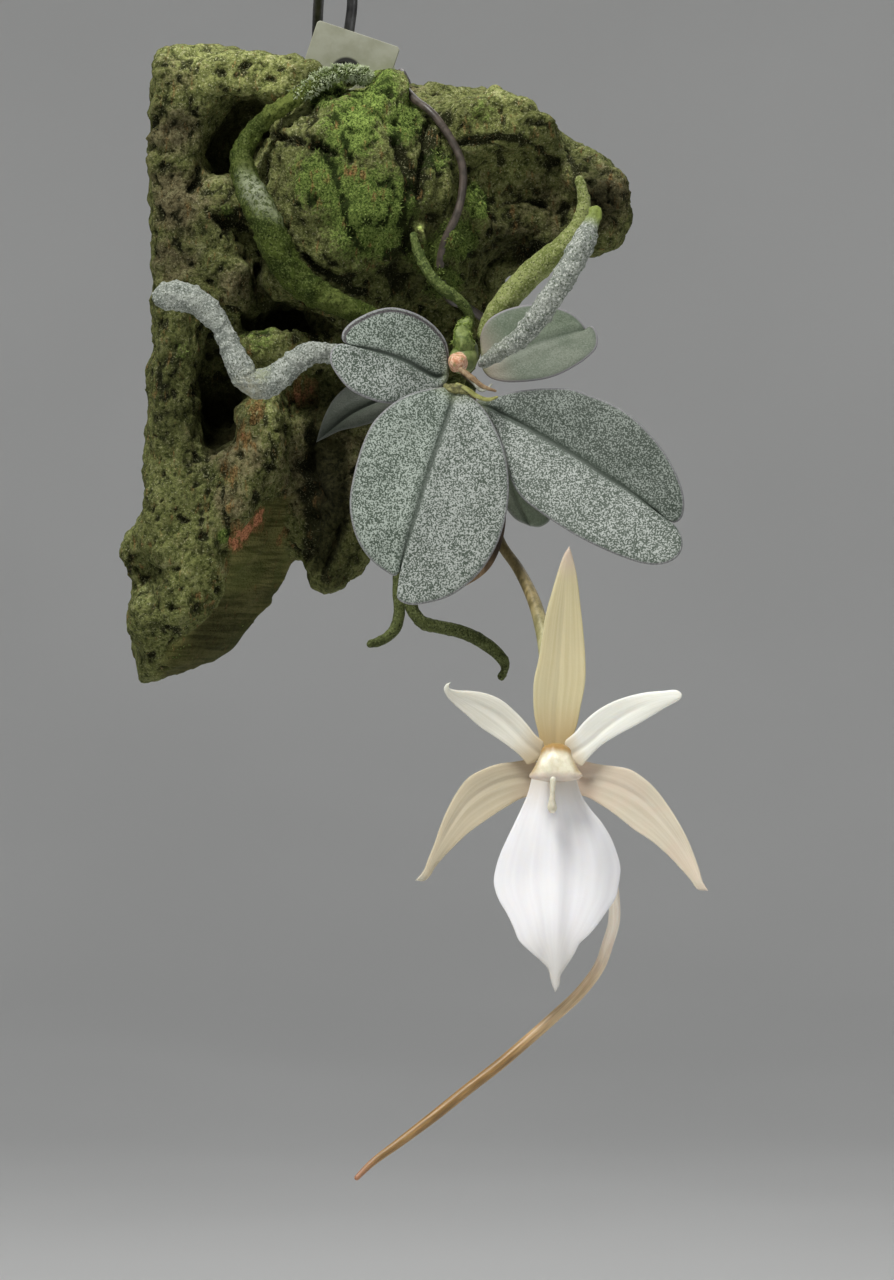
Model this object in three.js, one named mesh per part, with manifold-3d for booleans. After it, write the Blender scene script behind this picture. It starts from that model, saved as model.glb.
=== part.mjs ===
// A small grey-leaved orchid in flower, grown on a rough piece of bark that hangs from a wire hook.
//
// Millimetres, +Z up, +X to the viewer's right, -Y towards the viewer. The origin is the point inside
// the top of the hook where it bears on a rail, so everything but the hook's bend hangs below it.
// The plant holds to the bark by its roots. Every leaf, root, sepal and petal is a solid of its own
// that stops a hair short of what it grows from.

import * as THREE from "three";
import { mergeVertices } from "three/addons/utils/BufferGeometryUtils.js";
import { ImprovedNoise } from "three/addons/math/ImprovedNoise.js";
import Module from "manifold-3d";

const wasm = await Module();
wasm.setup();

// Driving dimensions
const GAP = 0.35; // air left between pieces that touch
const WIRE_RADIUS = 0.8;
const TIE_RADIUS = 0.58;
const HOOK_RADIUS = 8; // inside of the hook's bend
const LABEL = { width: 12.6, height: 10, thick: 0.7, corner: 0.35, hole: 2, holeDown: 6.5, tilt: 18.6 };
const LABEL_TOP = [3.5, -51.3]; // middle of the label's top edge
const BARK_FRONT = 3; // the plank behind the relief
const BARK_BACK = 16;
const BARK_CELL = 2.75;
// The hole that the wire passes through the bark by
const DRILLED = { from: [1.85, 2.3, -54.6], to: [-2.4, 20.5, -66], radius: 1.45 };

const vec = (x, y, z) => new THREE.Vector3(x, y, z);
const { lerp: mix, clamp, degToRad: rad } = THREE.MathUtils;
const noise = new ImprovedNoise();

// Colours
const finish = (color, roughness = 0.8, metalness = 0) =>
  new THREE.MeshStandardMaterial({ color, roughness, metalness });
const MATERIALS = {
  bark: finish("#6f6a3c", 0.95),
  steel: finish("#7d7f80", 0.4, 1),
  label: finish("#b9b9a6", 0.6),
  tie: finish("#5a4742", 0.5),
  stem: finish("#8b9450", 0.7),
  bud: finish("#d98a6a", 0.6),
  sheath: finish("#9aa04e", 0.6),
  dry: finish("#8a6a45", 0.9),
  leaf: finish("#7f9187", 0.6),
  silverRoot: finish("#a9b0ac", 0.85),
  greenRoot: finish("#6d8240", 0.85),
  peduncle: finish("#a08a55", 0.55),
  sepal: finish("#dccfa6", 0.5),
  petal: finish("#ece5cd", 0.5),
  lip: finish("#f1eef0", 0.45),
  column: finish("#efe6bf", 0.45),
  spur: finish("#c9a878", 0.5),
};
const part = new THREE.Group();
function add(name, geometry, material) {
  const mesh = new THREE.Mesh(geometry, material);
  mesh.name = name;
  part.add(mesh);
  return geometry;
}

// Geometry helpers

// Merges a geometry's shared vertices and drops triangles that have closed up to a line.
function closed(geometry) {
  const bare = geometry.clone();
  for (const name of ["normal", "uv"]) bare.deleteAttribute(name);
  const merged = mergeVertices(bare, 1e-3);
  const old = merged.index.array;
  const kept = [];
  for (let i = 0; i < old.length; i += 3) {
    const [a, b, c] = [old[i], old[i + 1], old[i + 2]];
    if (a !== b && b !== c && c !== a) kept.push(a, b, c);
  }
  merged.setIndex(kept);
  return merged;
}

// A closed geometry as a solid that can be cut or joined, and a solid back as a geometry.
function solid(geometry) {
  const merged = closed(geometry);
  return new wasm.Manifold(
    new wasm.Mesh({
      numProp: 3,
      vertProperties: new Float32Array(merged.attributes.position.array),
      triVerts: new Uint32Array(merged.index.array),
    }),
  );
}
function geometryOf(made) {
  const mesh = made.getMesh();
  const geometry = new THREE.BufferGeometry();
  geometry.setAttribute("position", new THREE.BufferAttribute(mesh.vertProperties, 3));
  geometry.setIndex(new THREE.BufferAttribute(mesh.triVerts, 1));
  return geometry;
}

// A ball's grid of vertices moved to new places: row runs from one pole to the other, and angle round.
// Its far half is split into triangles as a mirror of the near half, so both faces of a blade are alike.
function moulded(sides, rows, place) {
  const ball = new THREE.SphereGeometry(1, sides, rows);
  const corners = ball.index.array;
  for (let i = sides * 3; i < corners.length - sides * 3; i += 6) {
    if (((i - sides * 3) / 6) % sides < sides / 2) continue;
    const [a, b, d, , c] = corners.slice(i, i + 6);
    corners.set([a, b, c, a, c, d], i);
  }
  const position = ball.getAttribute("position");
  const uv = ball.getAttribute("uv");
  for (let i = 0; i < position.count; i++) {
    const row = Math.round((1 - uv.getY(i)) * rows);
    const pole = row === 0 || row === rows;
    const side = pole ? 0 : Math.round(uv.getX(i) * sides) % sides;
    const p = place(row, (side / sides) * 2 * Math.PI, pole);
    position.setXYZ(i, p.x, p.y, p.z);
  }
  return closed(ball);
}

// A value that runs smoothly through a list of [position, value] stops.
function profile(stops) {
  const points = stops.map(([t, value]) => vec(t, value, 0));
  const curve = new THREE.CatmullRomCurve3(points, false, "catmullrom", 0.4);
  const table = Array.from({ length: 101 }, (_, i) => curve.getPoint(i / 100));
  return (t) => {
    const after = table.findIndex((p) => p.x >= t);
    if (after === -1) return table.at(-1).y;
    if (after === 0) return table[0].y;
    const [a, b] = [table[after - 1], table[after]];
    return mix(a.y, b.y, (t - a.x) / (b.x - a.x || 1));
  };
}

// Where a limb's rings stand along it and how large they are of full size, with rounded caps at both ends.
function stationsOf(cap, steps) {
  const rounding = [[0, 0], [0.134, 0.5], [0.5, 0.866]];
  return [
    ...rounding.map(([share, size]) => [share * cap[0], size]),
    ...Array.from({ length: steps + 1 }, (_, i) => [mix(cap[0], 1 - cap[1], i / steps), 1]),
    ...rounding.toReversed().map(([share, size]) => [1 - share * cap[1], size]),
  ];
}

// A round or flat limb along a line of points. across and thick are its half sizes, facing is the way its
// broad side looks and lift(x) bends the section. Without facing it is carried along with no twist.
function limb(points, shape) {
  const { across, thick = across, facing, lift = () => 0, sides = 8, steps = 12, ends = [1, 1] } = shape;
  const curve = new THREE.CatmullRomCurve3(points, false, "centripetal");
  curve.arcLengthDivisions = 400;
  const long = curve.getLength();
  const cap = [0, 1].map((end) => (ends[end] * Math.max(across(end), thick(end))) / long);
  const stations = stationsOf(cap, steps);
  const carried = vec(0.31, 0.22, 0.92);
  const frames = stations.map(([t, size]) => {
    const tangent = curve.getTangentAt(clamp(t, 0, 1));
    const look = facing ?? carried;
    const side = vec(0, 0, 0).crossVectors(tangent, look).normalize();
    const up = vec(0, 0, 0).crossVectors(side, tangent).normalize();
    if (!facing) carried.copy(up);
    return { t, size, side, up, at: curve.getPointAt(clamp(t, 0, 1)) };
  });
  return moulded(sides, stations.length - 1, (row, angle, pole) => {
    const { t, size, side, up, at } = frames[row];
    const x = pole ? 0 : Math.cos(angle) * across(t) * size;
    const z = pole ? 0 : Math.sin(angle) * thick(t) * size;
    return at.clone().addScaledVector(side, x).addScaledVector(up, z + lift(x));
  });
}

// A thin blade between two edges, drawn with its midrib as they show from the front in [x, z] points. The
// edges end at the midrib's ends, so a notch or a lobe is part of the outline. depth(p, t, mid) gives the
// y of a point that lies beside mid on the midrib.
function blade(edges, depth, { thick, sides, steps, ends }) {
  const lines = edges.map((points) => {
    const curve = new THREE.CatmullRomCurve3(points.map(([x, z]) => vec(x, 0, z)), false, "centripetal");
    curve.arcLengthDivisions = 400;
    return curve;
  });
  const long = lines[1].getLength();
  const stations = stationsOf(ends.map((end) => end / long), steps);
  const across = lines[2].getPointAt(0.5).sub(lines[0].getPointAt(0.5));
  const along = lines[1].getPointAt(1).sub(lines[1].getPointAt(0));
  const turned = across.z * along.x > across.x * along.z ? -1 : 1; // which way round keeps the faces outward
  return moulded(sides, stations.length - 1, (row, angle, pole) => {
    const [t, size] = stations[row];
    const over = pole ? 0 : Math.cos(angle);
    const front = pole ? 0 : Math.sin(angle) * turned;
    const mid = lines[1].getPointAt(t);
    const edge = lines[over < 0 ? 0 : 2].getPointAt(t);
    const p = mid.clone().lerp(edge, Math.abs(over) * (t < 0.5 ? size : 1));
    p.y = depth(p, t, mid) - Math.sign(front) * Math.abs(front) ** 0.7 * thick * size;
    return p;
  });
}

// The surface where a field is zero, as quads between the middles of the grid cells that it crosses.
function surfaceOf(field, low, high, cell) {
  const count = [0, 1, 2].map((a) => Math.ceil((high[a] - low[a]) / cell) + 1);
  const key = (c) => c[0] + count[0] * (c[1] + count[1] * c[2]);
  const corner = (c) => vec(low[0] + c[0] * cell, low[1] + c[1] * cell, low[2] + c[2] * cell);
  const value = new Float64Array(count[0] * count[1] * count[2]);
  const everyCell = function* (less) {
    for (let k = 0; k < count[2] - less; k++)
      for (let j = 0; j < count[1] - less; j++) for (let i = 0; i < count[0] - less; i++) yield [i, j, k];
  };
  for (const c of everyCell(0)) value[key(c)] = field(corner(c));
  const step = (c, axis, by = 1) => c.map((n, a) => (a === axis ? n + by : n));
  // A grid square with its corners in and out by turns would pinch the surface, so it is filled in.
  for (let pinched = true; pinched; ) {
    pinched = false;
    for (const c of everyCell(1))
      for (let axis = 0; axis < 3; axis++) {
        const [p, q] = [(axis + 1) % 3, (axis + 2) % 3];
        const around = [c, step(c, p), step(step(c, p), q), step(c, q)].map(key);
        const inside = around.map((n) => value[n] < 0);
        if (inside[0] !== inside[2] || inside[1] !== inside[3] || inside[0] === inside[1]) continue;
        for (const n of around) if (value[n] >= 0) value[n] = -0.1 * cell;
        pinched = true;
      }
  }
  const crossing = (a, b) => {
    const [va, vb] = [value[key(a)], value[key(b)]];
    return va < 0 === vb < 0 ? null : corner(a).lerp(corner(b), va / (va - vb));
  };
  const vertices = [];
  const vertexOf = new Map();
  for (const c of everyCell(1)) {
    const found = [];
    for (let axis = 0; axis < 3; axis++) {
      const [p, q] = [(axis + 1) % 3, (axis + 2) % 3];
      for (const start of [c, step(c, p), step(c, q), step(step(c, p), q)]) {
        const hit = crossing(start, step(start, axis));
        if (hit) found.push(hit);
      }
    }
    if (!found.length) continue;
    const mean = found.reduce((sum, p) => sum.add(p), vec(0, 0, 0)).divideScalar(found.length);
    vertexOf.set(key(c), vertices.push(mean) - 1);
  }
  const index = [];
  for (const c of everyCell(1))
    for (let axis = 0; axis < 3; axis++) {
      const [p, q] = [(axis + 1) % 3, (axis + 2) % 3];
      if (!c[p] || !c[q] || !crossing(c, step(c, axis))) continue;
      const cells = [step(step(c, p, -1), q, -1), step(c, q, -1), c, step(c, p, -1)];
      const ring = cells.map((n) => vertexOf.get(key(n)));
      if (value[key(c)] > 0) ring.reverse();
      const [a, b, d, e] = ring;
      const short = vertices[a].distanceTo(vertices[d]) <= vertices[b].distanceTo(vertices[e]);
      index.push(...(short ? [a, b, d, a, d, e] : [a, b, e, b, d, e]));
    }
  for (const p of vertices) {
    const off = field(p);
    p.addScaledVector(slopeOf(field, p), -clamp(off, -0.3 * cell, 0.3 * cell));
  }
  const geometry = new THREE.BufferGeometry().setFromPoints(vertices);
  geometry.setIndex(index);
  return geometry;
}

// The direction in which a field grows fastest.
function slopeOf(field, p, reach = 0.3) {
  const ahead = (axis, by) => field(p.clone().setComponent(axis, p.getComponent(axis) + by));
  return vec(...[0, 1, 2].map((axis) => ahead(axis, reach) - ahead(axis, -reach))).normalize();
}

// Fields: each gives roughly the distance in millimetres from a point to a shape, negative inside it

const smoothUnion = (a, b, soft) => {
  const h = clamp(0.5 + (0.5 * (b - a)) / soft, 0, 1);
  return mix(b, a, h) - soft * h * (1 - h);
};
const smoothCut = (a, b, soft) => -smoothUnion(-a, b, soft);

// An egg with the given half sizes, leaning by an angle in degrees from upright towards the left.
function lump([x, y, z], [rx, ry, rz], lean = 0) {
  const [c, s] = [Math.cos(rad(lean)), Math.sin(rad(lean))];
  return (p) => {
    const [dx, dy, dz] = [p.x - x, p.y - y, p.z - z];
    const [u, v, w] = [(c * dx + s * dz) / rx, dy / ry, (c * dz - s * dx) / rz];
    const far = Math.hypot(u, v, w);
    return (far * (far - 1)) / (Math.hypot(u / rx, v / ry, w / rz) || 1e-6);
  };
}

// A block with rounded edges, leaning the same way.
function block([x, y, z], [hx, hy, hz], lean = 0, round = 2) {
  const [c, s] = [Math.cos(rad(lean)), Math.sin(rad(lean))];
  return (p) => {
    const [dx, dz] = [p.x - x, p.z - z];
    const [u, w] = [c * dx + s * dz, c * dz - s * dx];
    const q = vec(Math.abs(u) - hx, Math.abs(p.y - y) - hy, Math.abs(w) - hz).addScalar(round);
    const outside = Math.hypot(Math.max(q.x, 0), Math.max(q.y, 0), Math.max(q.z, 0));
    return outside + Math.min(Math.max(q.x, q.y, q.z), 0) - round;
  };
}

// Distance to a closed outline in the XZ plane.
function outlineField(outline) {
  return (p) => {
    let nearest = Infinity;
    let inside = false;
    outline.forEach(([ax, az], i) => {
      const [bx, bz] = outline[(i + 1) % outline.length];
      const [ex, ez, wx, wz] = [bx - ax, bz - az, p.x - ax, p.z - az];
      const h = clamp((wx * ex + wz * ez) / (ex * ex + ez * ez), 0, 1);
      nearest = Math.min(nearest, Math.hypot(wx - ex * h, wz - ez * h));
      if (az > p.z !== bz > p.z && p.x < (ex * (p.z - az)) / ez + ax) inside = !inside;
    });
    return inside ? -nearest : nearest;
  };
}
const rough = (p, size) => noise.noise(p.x / size + 7.3, p.y / size + 3.1, p.z / size + 11.7);

// Bark: a thick plank with a boulder-like knob, a rim along its top, two lobes and a sawn foot

const BARK_OUTLINE = [
  [-26.4, -54.1], [-22.6, -52.8], [-19.4, -52.2], [-15.3, -53.1], [-9.1, -54.4], [-5.6, -55.3],
  [1.4, -56.8], [8.7, -57.9], [14.9, -57.9], [22.5, -58.8], [26.3, -60.4], [30.8, -63.6], [34.6, -66],
  [38.3, -68.5], [41.8, -72.3], [43.4, -75.8], [43, -79], [41, -82.2], [36.3, -83], [29, -83.8],
  [24.7, -86], [22.8, -90], [21.8, -94], [20.5, -99], [17.4, -104], [12.3, -109], [8.4, -115.5],
  [5.6, -123.2], [3.9, -128.6], [0.5, -131.8], [-2.1, -132.4], [-4.3, -129.7], [-5.6, -127.3],
  [-7, -131.6], [-11.5, -135.4], [-15.3, -140.5], [-19.1, -143], [-22.9, -143.7], [-26.1, -144.9],
  [-28.8, -145.6], [-30.2, -140.5], [-29.9, -136.1], [-29.6, -131.1], [-30.4, -128.6], [-32.2, -126.7],
  [-30.4, -124.1], [-28, -120.3], [-27.7, -115.2], [-27.1, -105.7], [-26.8, -93.2], [-26.5, -86.8],
  [-26.7, -67.9],
];
const plank = outlineField(BARK_OUTLINE);
const BARK_LUMPS = {
  knob: lump([2.4, -1, -76.5], [15.5, 14, 17]),
  knobRight: lump([14, 0, -76], [9, 9.5, 15], 6),
  leftPlank: block([-22.8, 4, -86], [3.8, 8.6, 34], 1, 3),
  leftLump: lump([-14.6, 2, -83], [7.5, 9.5, 12.5], 10),
  ledge: lump([-7.5, 2, -96.6], [10, 8, 3.6], -4),
  topLeft: block([-14, 3, -58.6], [14, 9.5, 5.4], 7, 3),
  topRight: block([24, 3, -64.6], [18, 10, 5], 19, 3),
  rightFace: block([30, 8, -76], [12, 9.5, 7.5], 0, 3),
  rightTip: lump([38, 2, -75], [5.5, 8.5, 7], 30),
  foot: lump([-22, 3, -129], [9.5, 10.5, 20], 4),
  lobe: lump([-12, 1.5, -118], [8, 10, 18], -4),
  smallLobe: lump([0.4, 4, -122], [6, 7.5, 12]),
  trunk: lump([3, 8, -106], [14, 8.5, 18], -18),
};
const BARK_HOLLOWS = {
  topHollow: lump([-14.4, -8, -66.5], [4, 14, 7.6], -40),
  sideHollow: lump([-11.8, -9, -86], [2.2, 9, 9], 8),
  crevice: lump([-7.8, -8, -93.2], [6.5, 11, 1.9], 0),
  lowerHollow: lump([-16.2, -8, -102.6], [4.2, 15, 9.4], -4),
  pit: lump([-27, -7, -129.5], [2.4, 8, 4]),
  furrow: lump([19.5, -11, -80], [2, 9, 14], 4),
  cutFold: lump([-5.2, -8, -118], [1.6, 10, 15], 2),
};
const SAWN_FACE = { point: vec(-13.5, -7, -122), normal: vec(0.774, -0.434, -0.459) };

function barkField(p) {
  let near = Math.max(plank(p), BARK_FRONT - p.y, p.y - BARK_BACK);
  for (const lobe of Object.values(BARK_LUMPS)) near = smoothUnion(near, lobe(p), 2.2);
  for (const hollow of Object.values(BARK_HOLLOWS)) near = smoothCut(near, hollow(p), 1.5);
  const sawn = p.clone().sub(SAWN_FACE.point).dot(SAWN_FACE.normal) - 6 * Math.max(0, p.x + 6);
  near = Math.max(near, sawn);
  near += 1.2 * rough(p, 7) + 0.7 * rough(p, 4.2);
  near = Math.max(near, plank(p) + 0.5 * rough(p, 4));
  return Math.max(near, p.y - BARK_BACK - 1.2 * Math.sin(p.x / 9) * Math.sin(p.z / 13));
}
const barkWhole = surfaceOf(barkField, [-36, -20, -150], [47, 21, -48], BARK_CELL);

// A line of points moved towards the viewer wherever it runs closer to the bark than a radius.
function clearOfBark(points, radius, samples = 22) {
  const curve = new THREE.CatmullRomCurve3(points, false, "centripetal");
  const line = Array.from({ length: samples + 1 }, (_, i) => curve.getPointAt(i / samples));
  for (let pass = 0; pass < 3; pass++) {
    line.forEach((p, i) => {
      while (barkField(p) < radius(i / samples) + GAP + 0.45) p.y -= 0.15;
    });
    const heights = line.map((p) => p.y);
    line.forEach((p, i) => {
      const around = (heights[Math.max(0, i - 1)] + heights[Math.min(samples, i + 1)]) / 2;
      p.y = Math.min(p.y, mix(p.y, around, 0.6));
    });
  }
  return line;
}

// A line of points drawn in or pushed out until it lies on the bark, and pulled straight over hollows
// round the back, as a tight cord does.
function snug(points, radius, samples) {
  const curve = new THREE.CatmullRomCurve3(points, false, "centripetal");
  const line = Array.from({ length: samples + 1 }, (_, i) => curve.getPointAt(i / samples));
  for (let pass = 0; pass < 5; pass++) {
    for (const p of line) {
      const off = radius + GAP + 0.35 - barkField(p);
      p.addScaledVector(slopeOf(barkField, p, 1), off > 0 ? off : Math.max(off, -0.6));
    }
    const old = line.map((p) => p.clone());
    for (let i = 1; i < samples; i++) {
      const between = old[i - 1].clone().lerp(old[i + 1], 0.5);
      line[i].lerp(between, 0.5);
    }
  }
  for (const p of line)
    for (let off = 1; off > 0; ) {
      off = radius + GAP + 0.35 - barkField(p);
      if (off > 0) p.addScaledVector(slopeOf(barkField, p, 1), off + 0.02);
    }
  for (let pass = 0; pass < 40; pass++)
    for (let i = 1; i < samples; i++) {
      const between = line[i - 1].clone().lerp(line[i + 1], 0.5);
      if (line[i].y > 0 && barkField(between) > radius + GAP + 0.35) line[i].lerp(between, 0.7);
    }
  return line;
}

// Label: a plain plastic tag standing in a saw cut in the crest of the bark

const labelPlace = new THREE.Matrix4()
  .makeRotationY(rad(LABEL.tilt))
  .setPosition(LABEL_TOP[0], 0, LABEL_TOP[1]);
function labelSlab(width, height, thick) {
  const [w, h, corner] = [width / 2, height, LABEL.corner];
  const outline = new THREE.Shape();
  outline.moveTo(-w + corner, 0);
  outline.lineTo(w - corner, 0);
  outline.lineTo(w, -corner);
  outline.lineTo(w, -h + corner);
  outline.lineTo(w - corner, -h);
  outline.lineTo(-w + corner, -h);
  outline.lineTo(-w, -h + corner);
  outline.lineTo(-w, -corner);
  outline.closePath();
  const slab = new THREE.ExtrudeGeometry(outline, { depth: thick, bevelEnabled: false });
  slab.translate(0, 0, -thick / 2);
  return solid(slab.rotateX(Math.PI / 2).applyMatrix4(labelPlace));
}
const punch = new THREE.CylinderGeometry(LABEL.hole, LABEL.hole, 2, 20);
punch.translate(0, 0, -LABEL.holeDown).applyMatrix4(labelPlace);
const label = labelSlab(LABEL.width, LABEL.height, LABEL.thick).subtract(solid(punch));
add("plant_label", geometryOf(label), MATERIALS.label);

// The bark with the label's slot and the wire's hole cut through it

const drillFrom = vec(...DRILLED.from);
const drillTo = vec(...DRILLED.to);
const drillWay = drillTo.clone().sub(drillFrom).normalize();
const drillLong = drillFrom.distanceTo(drillTo) + 8;
const drill = new THREE.CylinderGeometry(DRILLED.radius, DRILLED.radius, drillLong, 10);
drill.applyQuaternion(new THREE.Quaternion().setFromUnitVectors(vec(0, 1, 0), drillWay));
drill.translate(...drillFrom.clone().lerp(drillTo, 0.5).toArray());
const slot = labelSlab(LABEL.width + 2 * GAP, LABEL.height + GAP, LABEL.thick + 2 * GAP);
const barkBody = solid(barkWhole).subtract(slot).subtract(solid(drill)).simplify(0.05);
const barkPieces = barkBody.decompose().toSorted((a, b) => b.volume() - a.volume());
add("bark", geometryOf(barkPieces[0]), MATERIALS.bark);

// Hanger: one steel wire that makes the hook, runs down behind the label and through the bark,
// comes up at the back and winds round its own shank

const round = (radius) => ({ across: () => radius });
const bendRadius = HOOK_RADIUS + WIRE_RADIUS;
const hookBend = Array.from({ length: 11 }, (_, i) => {
  const turn = rad(mix(-8, 188, i / 10));
  return vec(0, bendRadius * Math.cos(turn), -HOOK_RADIUS + bendRadius * Math.sin(turn));
});
const winding = { radius: 2 * WIRE_RADIUS + GAP, turns: 3, from: -29.5, to: -37, y: -0.2 };
const windings = Array.from({ length: winding.turns * 8 + 1 }, (_, i) => {
  const turn = (i / 8) * 2 * Math.PI + Math.PI / 2;
  const z = mix(winding.to, winding.from, i / (winding.turns * 8));
  return vec(winding.radius * Math.cos(turn), winding.y + winding.radius * Math.sin(turn), z);
});
const drillAt = (share) => drillFrom.clone().lerp(drillTo, share);
const hangerLine = [
  vec(0, 10.6, -13.5),
  vec(0, 9.2, -11),
  ...hookBend,
  vec(0, -7.6, -15),
  vec(0, -4.4, -19.5),
  vec(0, -1.4, -23),
  vec(0, -0.2, -26.5),
  vec(0, -0.2, -33),
  vec(0.2, -0.2, -38.5),
  vec(2, 0.6, -42.5),
  vec(2.5, 1.2, -46.4),
  vec(1.95, 1.75, -51),
  drillAt(0.06),
  drillAt(0.3),
  drillAt(0.6),
  drillAt(0.94),
  vec(-2.8, 21.6, -66.2),
  vec(-3.3, 22.5, -64.8),
  vec(-3.5, 22.2, -62),
  vec(-3.4, 19.6, -56.5),
  vec(-3, 14, -49.5),
  vec(-2.4, 8.2, -43.5),
  vec(-0.9, 3.2, -38.8),
  ...windings,
];
add("hanger_wire", limb(hangerLine, { ...round(WIRE_RADIUS), sides: 6, steps: 130 }), MATERIALS.steel);

// Tie: a brown plastic-coated wire round the bark, its two ends side by side at the back

const tieLine = [
  vec(12.5, 22.6, -70.5),
  ...snug(
    [
      vec(11.6, 17.5, -66), vec(10.2, 16.5, -59.5), vec(9.5, 8, -56.2), vec(9.4, -1, -58.2),
      vec(10.6, -5, -60.8), vec(13.8, -9, -63.1), vec(15.7, -9, -64.5), vec(17, -9, -66.5),
      vec(17.7, -9, -69.1), vec(18, -9, -72), vec(17.7, -9, -74.6), vec(17, -9, -76.7),
      vec(16.1, -9, -78.4), vec(15.2, -9, -81), vec(14.2, -9, -85), vec(15, -7, -89),
      vec(18.4, -3, -92.6), vec(23.4, 3, -93.4), vec(24, 12, -91), vec(19, 17.5, -84),
      vec(15.6, 17.5, -75),
    ],
    TIE_RADIUS,
    46,
  ),
  vec(14.4, 22.9, -71.5),
];
add("tie_wire", limb(tieLine, { ...round(TIE_RADIUS), sides: 6, steps: 64 }), MATERIALS.tie);

// Roots: width stops are half widths in millimetres along each root

function root(name, points, stops, material, { flat = 1, sides = 8, steps = 20, samples = 22 } = {}) {
  const across = profile(stops);
  const line = clearOfBark(points.map((p) => vec(...p)), (t) => across(t), samples);
  const shape = { across, thick: (t) => across(t) * flat, facing: vec(0, -1, 0.15), sides, steps };
  add(name, limb(line, shape), material);
}
root(
  "root_over_knob",
  [
    [15.6, -9.6, -98.4], [13.5, -10, -96], [9.5, -12, -94.6], [3.5, -13, -92.6], [-1.8, -13, -90.2],
    [-5, -12, -88.2], [-7.2, -11, -85.2], [-8.8, -11, -81.2], [-10.6, -10, -77.4], [-12.4, -9, -74],
    [-13.2, -8, -70.9], [-12.5, -8, -68], [-10.4, -8, -65.2], [-7.2, -8, -62.8], [-4.2, -7, -60.8],
    [-1.8, -6, -58.8], [1.6, -5, -57.6], [5, -4.5, -58.4],
  ],
  [[0, 1.5], [0.2, 1.6], [0.33, 2.3], [0.5, 2.5], [0.62, 1.9], [0.72, 1.35], [0.88, 1.1], [1, 0.95]],
  MATERIALS.greenRoot,
  { steps: 26, samples: 26 },
);
root(
  "root_silver_left",
  [
    [15.2, -13.6, -99.4], [12.4, -14.5, -99.3], [6.8, -15.5, -99.3], [1.9, -16, -99.2], [-1, -16, -98.5],
    [-3.8, -16, -98.9], [-6.2, -16, -100.8], [-9, -16, -102.8], [-11.5, -16, -103.1], [-12.9, -16, -101.4],
    [-13.9, -16, -98.6], [-14.9, -16, -96.5], [-16.2, -16, -94.1], [-18, -16, -92], [-20.6, -16, -90.8],
    [-22.8, -16, -90.4], [-25.4, -16, -91],
  ],
  [
    [0, 1.1], [0.3, 1.3], [0.42, 1.9], [0.55, 2.2], [0.65, 1.9], [0.75, 1.5], [0.85, 2], [0.94, 2.3],
    [1, 1.5],
  ],
  MATERIALS.silverRoot,
  { flat: 0.72, steps: 26, samples: 26 },
);
root(
  "root_silver_right",
  [
    [20.9, -16.6, -100.2], [22.4, -18.6, -99.6], [24.4, -20.6, -98.3], [26.5, -22, -97],
    [28.9, -23.5, -94.2], [31, -24.5, -91.1], [33, -25, -87.9], [34.8, -24.5, -84.7], [36, -24, -81.9],
    [37.3, -23, -78.6],
  ],
  [[0, 0.8], [0.2, 1.3], [0.4, 1.65], [0.7, 1.75], [0.85, 1.55], [0.95, 0.9], [1, 0.45]],
  MATERIALS.silverRoot,
  { flat: 0.85, steps: 16 },
);
root(
  "root_green_right",
  [
    [21.3, -9.5, -96.6], [22.6, -9, -93.6], [24.7, -8.5, -90.7], [26.9, -8.5, -88.2],
    [29.3, -8.5, -85.8], [31.8, -8.5, -83.8], [34, -8.5, -81.6], [35.3, -8.5, -79.4], [35.9, -8.5, -77],
    [35.6, -8.5, -74.6], [35, -8, -72.9],
  ],
  [[0, 1.3], [0.2, 1.7], [0.4, 1.9], [0.6, 1.6], [0.78, 1.1], [1, 0.5]],
  MATERIALS.greenRoot,
  { steps: 16 },
);
root(
  "root_mossy_middle",
  [
    [18.9, -9.5, -95.4], [19.6, -10, -93], [18.2, -11.5, -91], [15.2, -12.8, -88.9], [13.4, -13, -86.6],
    [12.1, -12.6, -84], [11.3, -12.6, -81.4],
  ],
  [[0, 0.75], [0.5, 0.85], [1, 0.55]],
  MATERIALS.greenRoot,
  { steps: 12, samples: 14, sides: 6 },
);
root(
  "root_lower_left",
  [
    [17.4, -7.5, -101.6], [15.2, -4, -108.9], [11.6, -4, -119], [9.8, -6, -126.3], [9.2, -7.2, -131],
    [9.5, -7.6, -135.1], [9, -8, -137.6], [7.2, -8.4, -139.3], [4.8, -8.6, -139.9],
  ],
  [[0, 0.9], [0.5, 0.95], [0.9, 0.85], [1, 0.5]],
  MATERIALS.greenRoot,
  { sides: 6 },
);
root(
  "root_lower_right",
  [
    [19.9, -7.6, -101.4], [18, -3.4, -110.3], [14.6, -3.6, -120.4], [11.6, -8.2, -129.1],
    [10.9, -10, -134.2], [12.1, -10.2, -136.6], [14.1, -10, -137.2], [16.8, -10, -137.6],
    [20.8, -10, -139.1], [23.9, -10, -141.5], [25.2, -10, -143.6], [23.6, -9, -144.6],
  ],
  [[0, 0.9], [0.5, 0.9], [0.75, 0.95], [0.95, 0.8], [1, 0.5]],
  MATERIALS.greenRoot,
  { sides: 6, steps: 24, samples: 26 },
);

// Stem, crown and leaves. The stem points at the viewer and the leaves stand out all round it

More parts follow.
